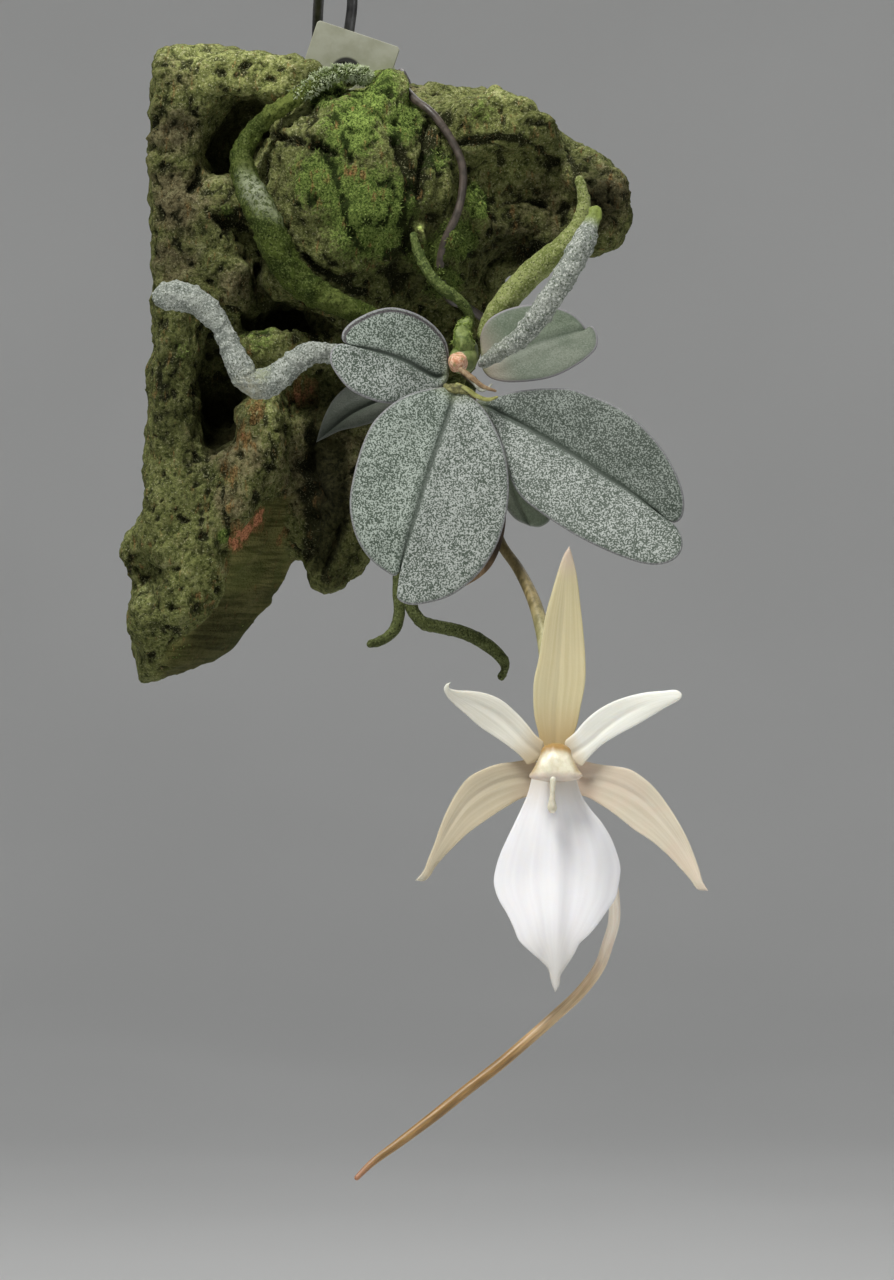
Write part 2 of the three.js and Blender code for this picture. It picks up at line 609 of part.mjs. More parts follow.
add(
  "stem",
  limb([vec(19, -3.4, -96.9), vec(18.8, -9, -98.4), vec(18.4, -15.5, -99.8)], {
    across: profile([[0, 1.7], [1, 2.1]]),
    steps: 6,
  }),
  MATERIALS.stem,
);
add(
  "crown_bud",
  limb([vec(18.1, -16.4, -100), vec(17.9, -19.2, -100), vec(18.1, -21.4, -100.1)], {
    across: profile([[0, 1.4], [0.5, 1.6], [1, 0.8]]),
    steps: 5,
  }),
  MATERIALS.bud,
);

// Each leaf as it shows from the front, in [x, z]: its left or upper edge, its midrib and its other edge,
// with the midrib's depth, how its plane leans and how steeply its halves fold up
const LEAVES = {
  leaf_front: {
    edges: [
      [
        [16.9, -103.7], [13.9, -104], [10.4, -105.1], [8, -106.7], [5.9, -108.9], [4.4, -112.1],
        [3.3, -116], [2.7, -119.9], [3.1, -123.3], [4.2, -126.1], [5.9, -128.3], [7.9, -129.8],
        [9, -130.3], [9.7, -129.7],
      ],
      [
        [17.4, -104.3], [16.2, -108.2], [15.1, -111.4], [14, -114.6], [13, -117.8], [12.1, -121],
        [11.2, -124], [10.4, -126.9], [9.7, -129.7],
      ],
      [
        [17.8, -103.7], [19.5, -105], [21.4, -106.9], [22.9, -109.5], [24.2, -112.7], [24.8, -116.2],
        [24.8, -119.6], [24.2, -123], [23.2, -125.9], [21.5, -128.9], [19.5, -131.1], [16.7, -133.1],
        [13.9, -134], [11.1, -134.3], [9.4, -133.5], [9.4, -131.7], [9.7, -129.7],
      ],
    ],
    lean: [0, 0.05],
    fold: 0.13,
    depths: [[0, -21.4], [0.35, -23.8], [0.7, -25.6], [1, -26.2]],
  },
  leaf_right: {
    edges: [
      [
        [19.5, -105.7], [20.9, -105.3], [22.5, -105], [25.3, -104.3], [28.1, -103.9], [30.9, -103.8],
        [33.8, -104], [36.6, -105], [39.2, -106.1], [41.5, -107.5], [43.6, -109.4], [45.5, -111.6],
        [47.2, -114.1], [48.3, -116.4], [49, -118.5], [49.2, -120.4], [48.9, -122.1], [48, -122.9],
        [46.6, -122.4],
      ],
      [
        [19.5, -106], [21.8, -106.4], [24.4, -107.7], [27.2, -109.2], [30, -110.9], [32.4, -112.3],
        [35.2, -114.1], [38, -116.1], [40.8, -117.9], [43.6, -120], [46.6, -122.4],
      ],
      [
        [19.5, -106.4], [20.9, -107], [22, -107.8], [23.1, -109.5], [24.4, -112.9], [25.2, -116.8],
        [26.7, -119.3], [28.8, -121.1], [32.1, -123.4], [34.9, -125.1], [37.7, -126.5], [40.5, -127.7],
        [43.3, -128.6], [45.5, -128.8], [47.3, -128.3], [48.5, -127.2], [48.9, -125.8], [48.6, -124.4],
        [47.8, -123.2], [46.6, -122.4],
      ],
    ],
    lean: [-0.1, 0.25],
    fold: 0.16,
    depths: [[0, -17.2], [0.3, -20.2], [0.65, -23.8], [1, -27]],
  },
  leaf_left: {
    edges: [
      [
        [16.5, -101], [16.5, -98.7], [16, -96.8], [14.7, -95.1], [12.9, -93.7], [10.8, -92.8],
        [8.5, -92.4], [6.3, -92.8], [4.3, -93.7], [2.6, -94.8], [1.6, -96.1], [1.6, -97.3], [2.6, -98],
      ],
      [
        [16.5, -101.8], [14.8, -102.1], [13, -101.3], [10.8, -100.1], [8.7, -99.3], [6.5, -98.7],
        [4.6, -98.3], [2.6, -98],
      ],
      [
        [16.4, -102.7], [15.3, -103.6], [13.1, -104.8], [10.3, -105.8], [7.5, -106], [4.9, -105.3],
        [2.6, -104.1], [0.9, -102.2], [-0.1, -100.3], [0.1, -98.6], [1.2, -97.7], [2.6, -98],
      ],
    ],
    lean: [0.1, 0.25],
    fold: 0.18,
    depths: [[0, -16.8], [0.3, -18.3], [0.7, -20.6], [1, -22]],
  },
  leaf_upper_right: {
    edges: [
      [
        [21, -97.9], [21, -95.9], [21.9, -93.9], [23.8, -92.5], [26.6, -91.6], [29.5, -91.3],
        [32.3, -91.9], [34, -92.6], [35.2, -93.6], [36.2, -95],
      ],
      [
        [21, -99.6], [23.2, -99.2], [25.9, -98.2], [28.8, -97], [31.6, -96.2], [34, -95.5],
        [36.2, -95],
      ],
      [
        [21.1, -100.7], [22.4, -102], [24.5, -102.6], [27.3, -102.6], [30.2, -102.2], [32.3, -101.5],
        [34.5, -100.3], [36.3, -99], [37.5, -97.6], [37.7, -96], [37.3, -94.8], [36.6, -94.3],
        [36.2, -95],
      ],
    ],
    lean: [0, 0.3],
    fold: 0.2,
    depths: [[0, -12.6], [0.3, -12.4], [0.65, -11.4], [1, -10.2]],
  },
  leaf_behind_left: {
    edges: [
      [
        [13.8, -102.6], [9.5, -101.8], [5.2, -101.8], [2.4, -102.6], [0.2, -104.5], [-1.3, -107.1],
        [-2.5, -110.9],
      ],
      [
        [13.8, -103.5], [9.5, -104.3], [5.5, -105.6], [2.4, -107.1], [-0, -108.9], [-2.5, -110.9],
      ],
      [
        [13.8, -104.9], [10.2, -106.6], [6.7, -107.9], [3.5, -108.8], [1, -109.3], [-1, -110.2],
        [-2.5, -110.9],
      ],
    ],
    lean: [-0.1, 0.5],
    fold: 0.2,
    depths: [[0, -9.8], [0.4, -9.8], [1, -8.5]],
  },
  leaf_behind_below: {
    edges: [
      [
        [19.5, -103.9], [22.7, -107.9], [24.9, -112.1], [26.9, -116.4], [28.9, -119.3], [30.5, -121],
        [30.9, -122.1], [29.5, -123.1], [28.1, -123],
      ],
      [
        [19.5, -104.4], [21.5, -108.6], [23.5, -112.8], [25.2, -117.1], [26.6, -120.4], [28.1, -123],
      ],
      [
        [19.5, -105], [20.1, -109.3], [21.2, -113.6], [22.9, -117.5], [24.6, -120.4], [26.1, -122.1],
        [28.1, -123],
      ],
    ],
    lean: [0.1, 0.1],
    fold: 0.15,
    depths: [[0, -11.2], [1, -11.3]],
  },
};
for (const [name, { edges, lean, fold, depths }] of Object.entries(LEAVES)) {
  const ribDepth = profile(depths);
  const depth = (p, t, mid) => {
    const folded = fold * (Math.sqrt(p.distanceToSquared(mid) + 0.35) - 0.6);
    return ribDepth(t) + lean[0] * (p.x - mid.x) + lean[1] * (p.z - mid.z) - folded;
  };
  add(name, blade(edges, depth, { thick: 0.75, sides: 14, steps: 12, ends: [0.5, 1] }), MATERIALS.leaf);
}
add(
  "leaf_sheath",
  limb([vec(18.2, -21.7, -101.6), vec(20.6, -21.4, -102.6), vec(23.8, -20.6, -104)], {
    across: profile([[0, 0.6], [0.5, 0.85], [1, 0.5]]),
    thick: () => 0.34,
    facing: vec(0.2, -1, 0.3),
    steps: 5,
  }),
  MATERIALS.sheath,
);
add(
  "dry_bract",
  limb([vec(21.6, -15.9, -113), vec(22.2, -18, -119.5), vec(20.8, -20.6, -126.8), vec(17.4, -22.4, -131.6)], {
    across: profile([[0, 0.9], [0.4, 2.6], [0.75, 2.4], [1, 0.9]]),
    thick: () => 0.36,
    facing: vec(0.1, -1, 0.1),
    lift: (x) => -0.12 * x * x,
    sides: 10,
    steps: 10,
  }),
  MATERIALS.dry,
);

// Flower: its parts meet round the column at FLOWER and face the viewer

const FLOWER = vec(30.9, -40, -156.2);
const PETAL_THICK = 0.42; // half of it
const from = (points) => points.map(([x, y, z]) => vec(x, y, z).add(FLOWER));

// The sepals and petals in the same way, with how far their sides curl forward
const SEPALS_AND_PETALS = {
  sepal_top: {
    edges: [
      [
        [29.1, -154.5], [28.7, -151.9], [28.2, -149.8], [28, -147.4], [28.1, -144.7], [28.7, -141.9],
        [29.2, -138.9], [29.7, -135.7], [30.6, -132.4], [31.4, -129.7], [32.1, -127.7], [32.9, -126.4],
      ],
      [
        [31, -154.5], [31.1, -148.7], [31.5, -144.7], [31.8, -139.9], [32.2, -134.4], [32.5, -129.9],
        [32.9, -126.4],
      ],
      [
        [33, -154.5], [33.4, -152.6], [34, -150.7], [34.5, -148.2], [35.1, -144.9], [35.1, -141.2],
        [34.8, -137.6], [34.4, -134], [34, -130.7], [33.4, -128], [32.9, -126.4],
      ],
    ],
    curl: 0.05,
    depths: [[0, -38.4], [0.2, -38], [0.5, -37.9], [0.8, -38.6], [1, -39.4]],
  },
  petal_left: {
    edges: [
      [
        [27.5, -156.5], [25.9, -154.7], [24.5, -153.6], [22.8, -152.4], [20.7, -151], [18.8, -149.3],
        [17.2, -147.9], [16.2, -146.8], [15.8, -145.9], [16.1, -145.2], [16.8, -144.9],
      ],
      [
        [29.3, -155.1], [27, -153.2], [25.1, -151.3], [22.8, -149.4], [20.2, -147.9], [17.7, -146.7],
        [16.5, -145.9], [16.4, -145.3], [16.8, -144.9],
      ],
      [
        [29.7, -153.3], [28.3, -152.1], [27.1, -150.6], [25.6, -149], [23.7, -147.4], [21.7, -146.5],
        [19.4, -146.1], [17.5, -146], [16.6, -145.7], [16.5, -145.3], [16.8, -144.9],
      ],
    ],
    curl: 0.06,
    depths: [[0, -40], [0.4, -39.9], [0.7, -40.6], [1, -41.9]],
  },
  petal_right: {
    edges: [
      [
        [31.9, -153.2], [33.6, -151.8], [35, -150.2], [36.8, -148.7], [38.8, -147.6], [41.1, -146.8],
        [43.4, -146.3], [45.6, -146.1], [47.4, -146], [48.1, -146.5], [48.1, -147],
      ],
      [
        [32.7, -155.1], [35.7, -153.1], [37.9, -151.2], [40.3, -149.5], [42.9, -148.2], [45.5, -147.4],
        [48.1, -147],
      ],
      [
        [34.3, -156.7], [36, -154.7], [37.3, -153.5], [39.5, -152.1], [41.9, -150.8], [44.1, -149.5],
        [46.2, -148.2], [47.5, -147.5], [48.1, -147],
      ],
    ],
    curl: 0.06,
    depths: [[0, -40], [0.4, -39.9], [0.7, -40.6], [1, -41.8]],
  },
  sepal_left: {
    edges: [
      [
        [28.4, -155.3], [25.4, -155.8], [23.2, -156.1], [21.2, -156.8], [19.2, -157.9], [17.7, -159.7],
        [16.5, -161.8], [15.4, -164.3], [14.5, -166.9], [13.6, -169.1], [13.1, -170.4], [12.4, -171.3],
        [11.9, -171.8],
      ],
      [
        [29.9, -157.9], [25.9, -158], [23.5, -158.6], [21, -159.8], [18.8, -161.6], [17.2, -163.8],
        [15.8, -166.2], [14.6, -168.5], [13.8, -170.2], [13.1, -171.4], [11.9, -171.8],
      ],
      [
        [28.9, -160.2], [26.2, -160.9], [24.6, -161.8], [22.8, -162.9], [20.9, -164.2], [19.1, -165.5],
        [17.5, -167], [16, -168.5], [14.7, -170], [13.9, -171.3], [13.1, -171.9], [11.9, -171.8],
      ],
    ],
    curl: 0.05,
    depths: [[0, -37.9], [0.4, -38.9], [0.7, -40.2], [1, -42]],
  },
  sepal_right: {
    edges: [
      [
        [33.7, -155.3], [36.7, -156.1], [39, -156.4], [41.1, -156.8], [42.8, -157.8], [44.5, -159.3],
        [46, -161.2], [47.5, -163.5], [48.8, -165.9], [49.8, -168.3], [50.5, -170.4], [51, -172.1],
        [51.7, -173.2],
      ],
      [
        [32.2, -157.9], [36.3, -158.2], [38.7, -158.8], [40.9, -159.8], [43, -161.2], [44.9, -163.1],
        [46.7, -165.3], [48.2, -167.6], [49.4, -169.9], [50.3, -171.8], [51.7, -173.2],
      ],
      [
        [33, -160.2], [35.2, -160.6], [37.1, -161.6], [39.3, -163.1], [41.7, -165], [44.1, -166.6],
        [46.3, -168.5], [48, -170.3], [49.3, -171.8], [50.2, -173], [51.7, -173.2],
      ],
    ],
    curl: 0.05,
    depths: [[0, -37.9], [0.4, -38.9], [0.7, -40.2], [1, -42.4]],
  },
};
for (const [name, { edges, curl, depths }] of Object.entries(SEPALS_AND_PETALS)) {
  const ribDepth = profile(depths);
  const depth = (p, t, mid) => ribDepth(t) - curl * p.distanceToSquared(mid);
  const shape = { thick: PETAL_THICK, sides: 10, steps: 12, ends: [0.6, 0.6] };
  add(name, blade(edges, depth, shape), name.startsWith("sepal") ? MATERIALS.sepal : MATERIALS.petal);
}

// The lip, waved across its top and along its sides
const LIP = [
  [
    [27.9, -157.3], [27.2, -160.1], [26.4, -162], [25.5, -163.9], [24.4, -166.2], [23.4, -168.5],
    [22.8, -170.6], [22.6, -172.3], [23.2, -174.4], [24.3, -176.3], [25.2, -178.1], [26, -180],
    [27.5, -181.5], [29, -182.8], [30, -184], [30.4, -185.7], [30.9, -187],
  ],
  [
    [30.8, -157.1], [30.8, -163.7], [30.8, -169.1], [30.8, -174.5], [30.8, -180], [30.9, -184],
    [30.9, -187],
  ],
  [
    [33.6, -157.3], [34.6, -160.4], [35.8, -162.2], [37.2, -163.9], [38.4, -165.8], [39.3, -167.9],
    [39.9, -170.2], [39.7, -172.3], [39.2, -174.4], [38.1, -176], [36.8, -177.8], [35.5, -179.3],
    [34.3, -180.4], [33.5, -181.9], [32.4, -183.6], [31.7, -184.7], [31.5, -186.1], [30.9, -187],
  ],
];
const lipDepth = profile([[0, -40.7], [0.25, -40.8], [0.5, -41], [0.75, -41.3], [1, -41.5]]);
const lipWave = (x, t) =>
  0.3 * Math.cos(x * 1.1) * (1 - t) - 0.02 * x * x + 0.5 * Math.sin(9 * t) * (Math.abs(x) / 8.7) ** 2;
add(
  "lip",
  blade(LIP, (p, t, mid) => lipDepth(t) - lipWave(p.x - mid.x, t), {
    thick: PETAL_THICK,
    sides: 16,
    steps: 17,
    ends: [0.35, 0.6],
  }),
  MATERIALS.lip,
);
add(
  "column",
  limb(from([[0.1, -1.9, 2.9], [0.1, -2.9, 1.4], [0.05, -3.9, -0.4], [0.05, -4.4, -2.2]]), {
    across: profile([[0, 1.8], [0.35, 2.1], [0.7, 3.1], [0.9, 3.7], [1, 3.5]]),
    thick: profile([[0, 0.9], [0.5, 1.3], [1, 0.9]]),
    facing: vec(0, -1, 0.4),
    sides: 12,
    steps: 6,
    ends: [0.6, 0.3],
  }),
  MATERIALS.column,
);
add(
  "beak",
  limb(from([[-0.15, -4.4, -2.8], [-0.3, -4.1, -4.4], [-0.2, -3.3, -6.3]]), {
    across: profile([[0, 0.38], [0.35, 0.42], [0.65, 0.72], [1, 0.35]]),
    sides: 6,
    steps: 5,
  }),
  MATERIALS.column,
);
add(
  "spur",
  limb(
    [
      vec(31.1, -36.4, -160.4), vec(33.2, -33.3, -162.2), vec(36, -30.5, -165.5), vec(38.3, -29, -170),
      vec(39.2, -29, -173.8), vec(39.4, -29, -178), vec(38.5, -29, -181.3), vec(37.3, -30, -184.4),
      vec(34.6, -31, -187.9), vec(31.3, -32, -190.9), vec(27.7, -33, -194), vec(23.5, -34, -197.5),
      vec(19, -35, -200.9), vec(14.5, -36, -204.4), vec(9.9, -37, -207.8), vec(6, -38, -210.6),
      vec(3.7, -39, -212.8),
    ],
    { across: profile([[0, 1.1], [0.1, 0.9], [0.4, 0.8], [0.8, 0.75], [0.95, 0.5], [1, 0.35]]), steps: 34 },
  ),
  MATERIALS.spur,
);
add(
  "flower_stalk",
  limb(
    [
      vec(19.4, -13.4, -103.6), vec(20.4, -14.2, -109.3), vec(21.8, -14.6, -117.9),
      vec(23.7, -16.5, -125.2), vec(26.2, -19.5, -129.1), vec(28.2, -24, -133.3),
      vec(29.3, -28, -137.1), vec(29.9, -31, -140.6), vec(30.4, -34, -147.4), vec(30.8, -36, -153.6),
      vec(31, -36.6, -156.8),
    ],
    { across: profile([[0, 0.7], [0.4, 0.75], [0.6, 0.95], [0.85, 1.15], [1, 1]]), steps: 22 },
  ),
  MATERIALS.peduncle,
);

export default part;
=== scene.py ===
"""A small grey-leaved orchid in flower, grown on a rough piece of bark that hangs from a wire hook.

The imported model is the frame, and every piece here stands on it or takes the place of one of its nodes.
Points and sizes are given in millimetres and become metres as each mesh is made: +Z up, +X to the
viewer's right, -Y towards the viewer, with the origin inside the top of the hook.
"""

import math

import bmesh
import bpy
import numpy as np
from mathutils import Matrix, Vector, noise
from mathutils.bvhtree import BVHTree
from mathutils.kdtree import KDTree


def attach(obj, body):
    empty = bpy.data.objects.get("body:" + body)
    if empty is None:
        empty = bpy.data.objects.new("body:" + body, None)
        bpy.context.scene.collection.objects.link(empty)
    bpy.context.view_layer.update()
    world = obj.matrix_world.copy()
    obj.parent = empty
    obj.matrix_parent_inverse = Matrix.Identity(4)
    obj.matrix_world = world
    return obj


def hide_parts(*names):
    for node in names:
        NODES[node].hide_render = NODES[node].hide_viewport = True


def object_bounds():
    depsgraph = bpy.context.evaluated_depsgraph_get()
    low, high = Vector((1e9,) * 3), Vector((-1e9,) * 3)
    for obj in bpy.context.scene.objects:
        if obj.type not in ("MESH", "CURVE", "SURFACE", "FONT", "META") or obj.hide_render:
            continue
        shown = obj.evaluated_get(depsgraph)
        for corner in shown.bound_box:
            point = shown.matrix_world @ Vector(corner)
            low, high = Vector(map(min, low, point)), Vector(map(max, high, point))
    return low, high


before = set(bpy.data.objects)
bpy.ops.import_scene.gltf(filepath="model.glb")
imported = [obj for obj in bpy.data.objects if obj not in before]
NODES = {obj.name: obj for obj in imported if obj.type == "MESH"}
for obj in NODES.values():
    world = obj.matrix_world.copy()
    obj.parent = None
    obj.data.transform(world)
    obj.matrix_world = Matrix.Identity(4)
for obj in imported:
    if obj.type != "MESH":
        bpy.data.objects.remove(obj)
CAD_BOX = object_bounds()

MM = 0.001
PIXEL = 0.145  # millimetres spanned by one pixel of the photograph at the depth of the origin
PHOTO_MIDDLE = (447, 640)
EYE = (16.24, -650.0, -139.2)
LENS = 126.07
SEED = 7
TO_VIEWER = np.array((0.0, -1.0, 0.0))
RISING = 1e-9  # keeps distances along a line rising where two of its points are the same
CAP_ROWS = 6  # rows of vertices round each end of a limb or blade


# Lines and profiles


def cubic(points, tangents, each):
    """Points along a smooth line through the given ones, with the tangents that a rule gives at each step."""
    p = np.asarray(points, float)
    p = np.vstack([2 * p[0] - p[1], p, 2 * p[-1] - p[-2]])
    s = np.linspace(0, 1, each, endpoint=False)[:, None]
    made = []
    for a, b, c, d in zip(p, p[1:], p[2:], p[3:]):
        m, n = tangents(a, b, c, d)
        made.append(b + s * m + s**2 * (3 * (c - b) - 2 * m - n) + s**3 * (2 * (b - c) + m + n))
    return np.vstack([*made, p[-2:-1]])


def even_tangents(a, b, c, d):
    """Tangents that keep a line from looping where its points are unevenly spaced."""
    ab, bc, cd = (np.linalg.norm(y - x) ** 0.5 for x, y in ((a, b), (b, c), (c, d)))
    m = ((b - a) / ab - (c - a) / (ab + bc) + (c - b) / bc) * bc
    n = ((c - b) / bc - (d - b) / (bc + cd) + (d - c) / cd) * bc
    return m, n


def profile(stops):
    """A value that runs smoothly through a list of (share of the length, value) stops."""
    table = cubic(stops, lambda a, b, c, d: (0.4 * (c - a), 0.4 * (d - b)), 20)
    return lambda t: np.interp(t, table[:, 0], table[:, 1])


def line_through(points):
    """A smooth line through points, and the distance run at each of its steps."""
    line = cubic(points, even_tangents, 24)
    far = np.concatenate([[0], np.cumsum(np.linalg.norm(np.diff(line, axis=0), axis=1))])
    return line, far


def at_shares(line, far, shares):
    """The places at given shares of the length of a line."""
    return np.stack([np.interp(shares * far[-1], far, column) for column in line.T], 1)


def smoothstep(x, low, high):
    s = np.clip((x - low) / (high - low), 0, 1)
    return s * s * (3 - 2 * s)


def rough(points, size, octaves=3, seed=0.0):
    """Soft noise of the given grain, from about -1 to 1, at an array of points."""
    shift = Vector((seed * 7.13, seed * 3.71, seed * 5.97))
    return np.array([noise.fractal(Vector(p) / size + shift, 0.9, 2.1, octaves) for p in points])


def creases(points, size, stretch=(1, 1, 1), seed=0.0):
    """Distance from wandering lines where soft noise crosses zero, 0 on the line and up to about 1 off it."""
    scale = np.array(stretch, float) / size
    shift = np.array((seed * 4.7, seed * 2.9, seed * 6.1))
    return np.abs([noise.fractal(Vector(p), 0.8, 2.3, 3) for p in points * scale + shift]) * 1.6


# Meshes


def finish_piece(name, mesh, material, slot, *replaced):
    """A mesh as a piece that rides on the object, shaded smooth, standing for the nodes named."""
    piece = bpy.data.objects.new(name, mesh)
    bpy.context.scene.collection.objects.link(piece)
    mesh.materials.clear()
    mesh.materials.append(material)
    mesh.polygons.foreach_set("use_smooth", np.ones(len(mesh.polygons), bool))
    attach(piece, "root")
    if replaced:
        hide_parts(*replaced)
    return piece


def triples(items, key):
    """Three numbers of each item, as an array."""
    flat = np.empty(len(items) * 3)
    items.foreach_get(key, flat)
    return flat.reshape(-1, 3)


def coordinates(mesh):
    return triples(mesh.vertices, "co") / MM


def place_at(mesh, points):
    mesh.vertices.foreach_set("co", (np.asarray(points) * MM).ravel())
    mesh.update()


def outward(mesh):
    return triples(mesh.vertex_normals, "vector")


def note(mesh, name, *columns):
    """Keeps three numbers at each vertex, for the materials to read."""
    made = mesh.attributes.new(name, "FLOAT_VECTOR", "POINT")
    made.data.foreach_set("vector", np.stack(columns, 1).astype(np.float32).ravel())


def mesh_of(bm, name):
    """The mesh of a form that is finished with."""
    mesh = bpy.data.meshes.new(name)
    bm.to_mesh(mesh)
    bm.free()
    return mesh


def rounded_rows(caps, steps):
    """Shares of a length for rows of vertices, close at its rounded ends, and the size of each row."""
    turn = np.linspace(0, math.pi / 2, CAP_ROWS)
    share, size = 1 - np.cos(turn), np.sin(turn)
    between = np.linspace(caps[0], 1 - caps[1], steps + 1)[1:-1]
    t = np.concatenate([share * caps[0], between, 1 - share[::-1] * caps[1]])
    return t, np.concatenate([size, np.ones(steps - 1), size[::-1]])


def wrapping(sides, rows, midrib=0.0):
    """A ball to be drawn out, and each vertex's row, how far over it is and how far to the front.

    midrib draws the columns of vertices together along the middle.
    """
    bm = bmesh.new()
    bmesh.ops.create_uvsphere(bm, u_segments=sides, v_segments=rows, radius=1)
    ball = np.array([v.co for v in bm.verts])
    row = np.rint(np.arccos(np.clip(ball[:, 2], -1, 1)) / math.pi * rows).astype(int)
    angle = np.arctan2(ball[:, 1], ball[:, 0])
    angle = angle + midrib * np.sin(2 * angle)
    pole = (row == 0) | (row == rows)
    return bm, row, np.where(pole, 0, np.cos(angle)), np.where(pole, 0, np.sin(angle))


def drawn_out(bm, points):
    """The ball with its vertices at points in millimetres, as a mesh."""
    for v, p in zip(bm.verts, points):
        v.co = p * MM
    bmesh.ops.recalc_face_normals(bm, faces=bm.faces)
    return mesh_of(bm, "limb")


def limb(points, across, thick=None, facing=None, lift=None, sides=32, steps=60, ends=(1, 1)):
    """A closed round or flat limb along a line of points, in millimetres, as a mesh.

    across and thick give its half sizes along its length, facing is the way its broad side looks and
    lift(x, t, front) bends the section. Each vertex keeps its place: how far over from side to side,
    how far along, and how far to the front.
    """
    thick = thick or across
    line, far = line_through(points)
    caps = [ends[e] * max(float(across(e)), float(thick(e))) / far[-1] for e in (0, 1)]
    t, size = rounded_rows(caps, steps)
    at = at_shares(line, far, t)
    tangent = at_shares(np.gradient(line, far + np.arange(len(far)) * RISING, axis=0), far, t)
    tangent /= np.linalg.norm(tangent, axis=1)[:, None]
    look = np.array((0.31, 0.22, 0.92))  # any way that no limb starts along
    side, up = np.empty_like(at), np.empty_like(at)
    for i, way in enumerate(tangent):
        if facing is not None:
            look = np.asarray(facing, float)
        side[i] = np.cross(way, look)
        side[i] /= np.linalg.norm(side[i])
        up[i] = np.cross(side[i], way)
        look = up[i] / np.linalg.norm(up[i])
    bm, row, over, front = wrapping(sides, len(t) - 1)
    along = t[row]
    x = over * across(along) * size[row]
    z = front * thick(along) * size[row]
    if lift:
        z = z + lift(x, along, front)
    mesh = drawn_out(bm, at[row] + side[row] * x[:, None] + up[row] * z[:, None])
    note(mesh, "place", over, along, front)
    return mesh


def limb_piece(name, skin, slot, replaced, points, across, thick=None, **form):
    """A limb as a piece, its half sizes given as (share of the length, value) stops."""
    mesh = limb(points, profile(across), thick and profile(thick), **form)
    return finish_piece(name, mesh, skin.material, slot, *replaced)


def blade(outline, depth, thick, sides=56, steps=80, ends=(0.6, 0.6), midrib=0.15, square=0.7):
    """A thin blade between two edges, drawn with its midrib as they show from the front in (x, z) points.

    The edges start and end by the midrib's ends, so a notch or a lobe is part of the outline. depth(x, z,
    over, along, off, front, rib) gives each vertex's y, where over runs from -1 on the left edge to 1 on
    the right one and off is the distance from the midrib. Each vertex keeps (over, along, front) as
    "place" and its distances from midrib and edge as "reach".
    """
    long = line_through(outline[1])[1][-1]
    t, size = rounded_rows([end / long for end in ends], steps)
    left, rib, right = (at_shares(*line_through(points), t) for points in outline)
    bm, row, over, front = wrapping(sides, len(t) - 1, midrib)
    mid = rib[row]
    edge = np.where((over < 0)[:, None], left[row], right[row])
    starting = np.where(t[row] < 0.5, size[row], 1)
    at = mid + (edge - mid) * (np.abs(over) * starting)[:, None]
    off = np.linalg.norm(at - mid, axis=1)
    wide = np.linalg.norm(edge - mid, axis=1)
    y = depth(at[:, 0], at[:, 1], over, t[row], off, front, mid)
    y = y - np.sign(front) * np.abs(front) ** square * thick * size[row]
    mesh = drawn_out(bm, np.stack([at[:, 0], y, at[:, 1]], 1))
    note(mesh, "place", over, t[row], front)
    note(mesh, "reach", off, wide - off, 0 * off)
    return mesh


def ripple(x, z, size, seed):
    """Soft noise of the given grain over the front of a blade."""
    return np.array([noise.noise(Vector((a / size, b / size, seed))) for a, b in zip(x, z)])


def copy_of(node, finer=0):
    """A node's own mesh with its loose triangles joined, made smoother by so many levels of subdivision."""
    bm = bmesh.new()
    bm.from_mesh(NODES[node].data)
    bmesh.ops.remove_doubles(bm, verts=bm.verts, dist=1e-6)
    if finer:
        bmesh.ops.join_triangles(bm, faces=bm.faces, angle_face_threshold=0.9, angle_shape_threshold=0.9)
    mesh = mesh_of(bm, node + "_copy")
    for name in ("custom_normal", "sharp_face", "sharp_edge"):
        if name in mesh.attributes:
            mesh.attributes.remove(mesh.attributes[name])
    if finer:
        mesh = changed(mesh, "SUBSURF", levels=finer, render_levels=finer)
    return mesh


def changed(mesh, kind, **values):
    """The mesh after one modifier."""
    holder = bpy.data.objects.new("holder", mesh)
    bpy.context.scene.collection.objects.link(holder)
    modifier = holder.modifiers.new(kind, kind)
    for key, value in values.items():
        setattr(modifier, key, value)
    bpy.context.view_layer.update()
    graph = bpy.context.evaluated_depsgraph_get()
    made = bpy.data.meshes.new_from_object(holder.evaluated_get(graph))
    bpy.data.objects.remove(holder)
    bpy.data.meshes.remove(mesh)
    return made


def in_photo(points):
    """Where points of the object show in the photograph, in its pixels."""
    depth = (points[:, 1] - EYE[1]) / -EYE[1]
    px = PHOTO_MIDDLE[0] + (points[:, 0] - EYE[0]) / (PIXEL * depth)
    py = PHOTO_MIDDLE[1] - (points[:, 2] - EYE[2]) / (PIXEL * depth)
    return np.stack([px, py], 1)


def from_photo(px, py, y=-10.0):
    """The point at a given depth that shows at a pixel of the photograph."""
    depth = PIXEL * (y - EYE[1]) / -EYE[1]
    return np.array((EYE[0] + (px - PHOTO_MIDDLE[0]) * depth, y, EYE[2] - (py - PHOTO_MIDDLE[1]) * depth))


def away_from(seen, route):
    """Distance in pixels from each place to the nearest stretch of a route."""
    route = np.asarray(route, float)
    nearest = np.full(len(seen), 1e9)
    for a, b in zip(route, route[1:]):
        ab = b - a
        h = np.clip(((seen - a) @ ab) / (ab @ ab), 0, 1)
        nearest = np.minimum(nearest, np.linalg.norm(seen - a - h[:, None] * ab, axis=1))
    return nearest


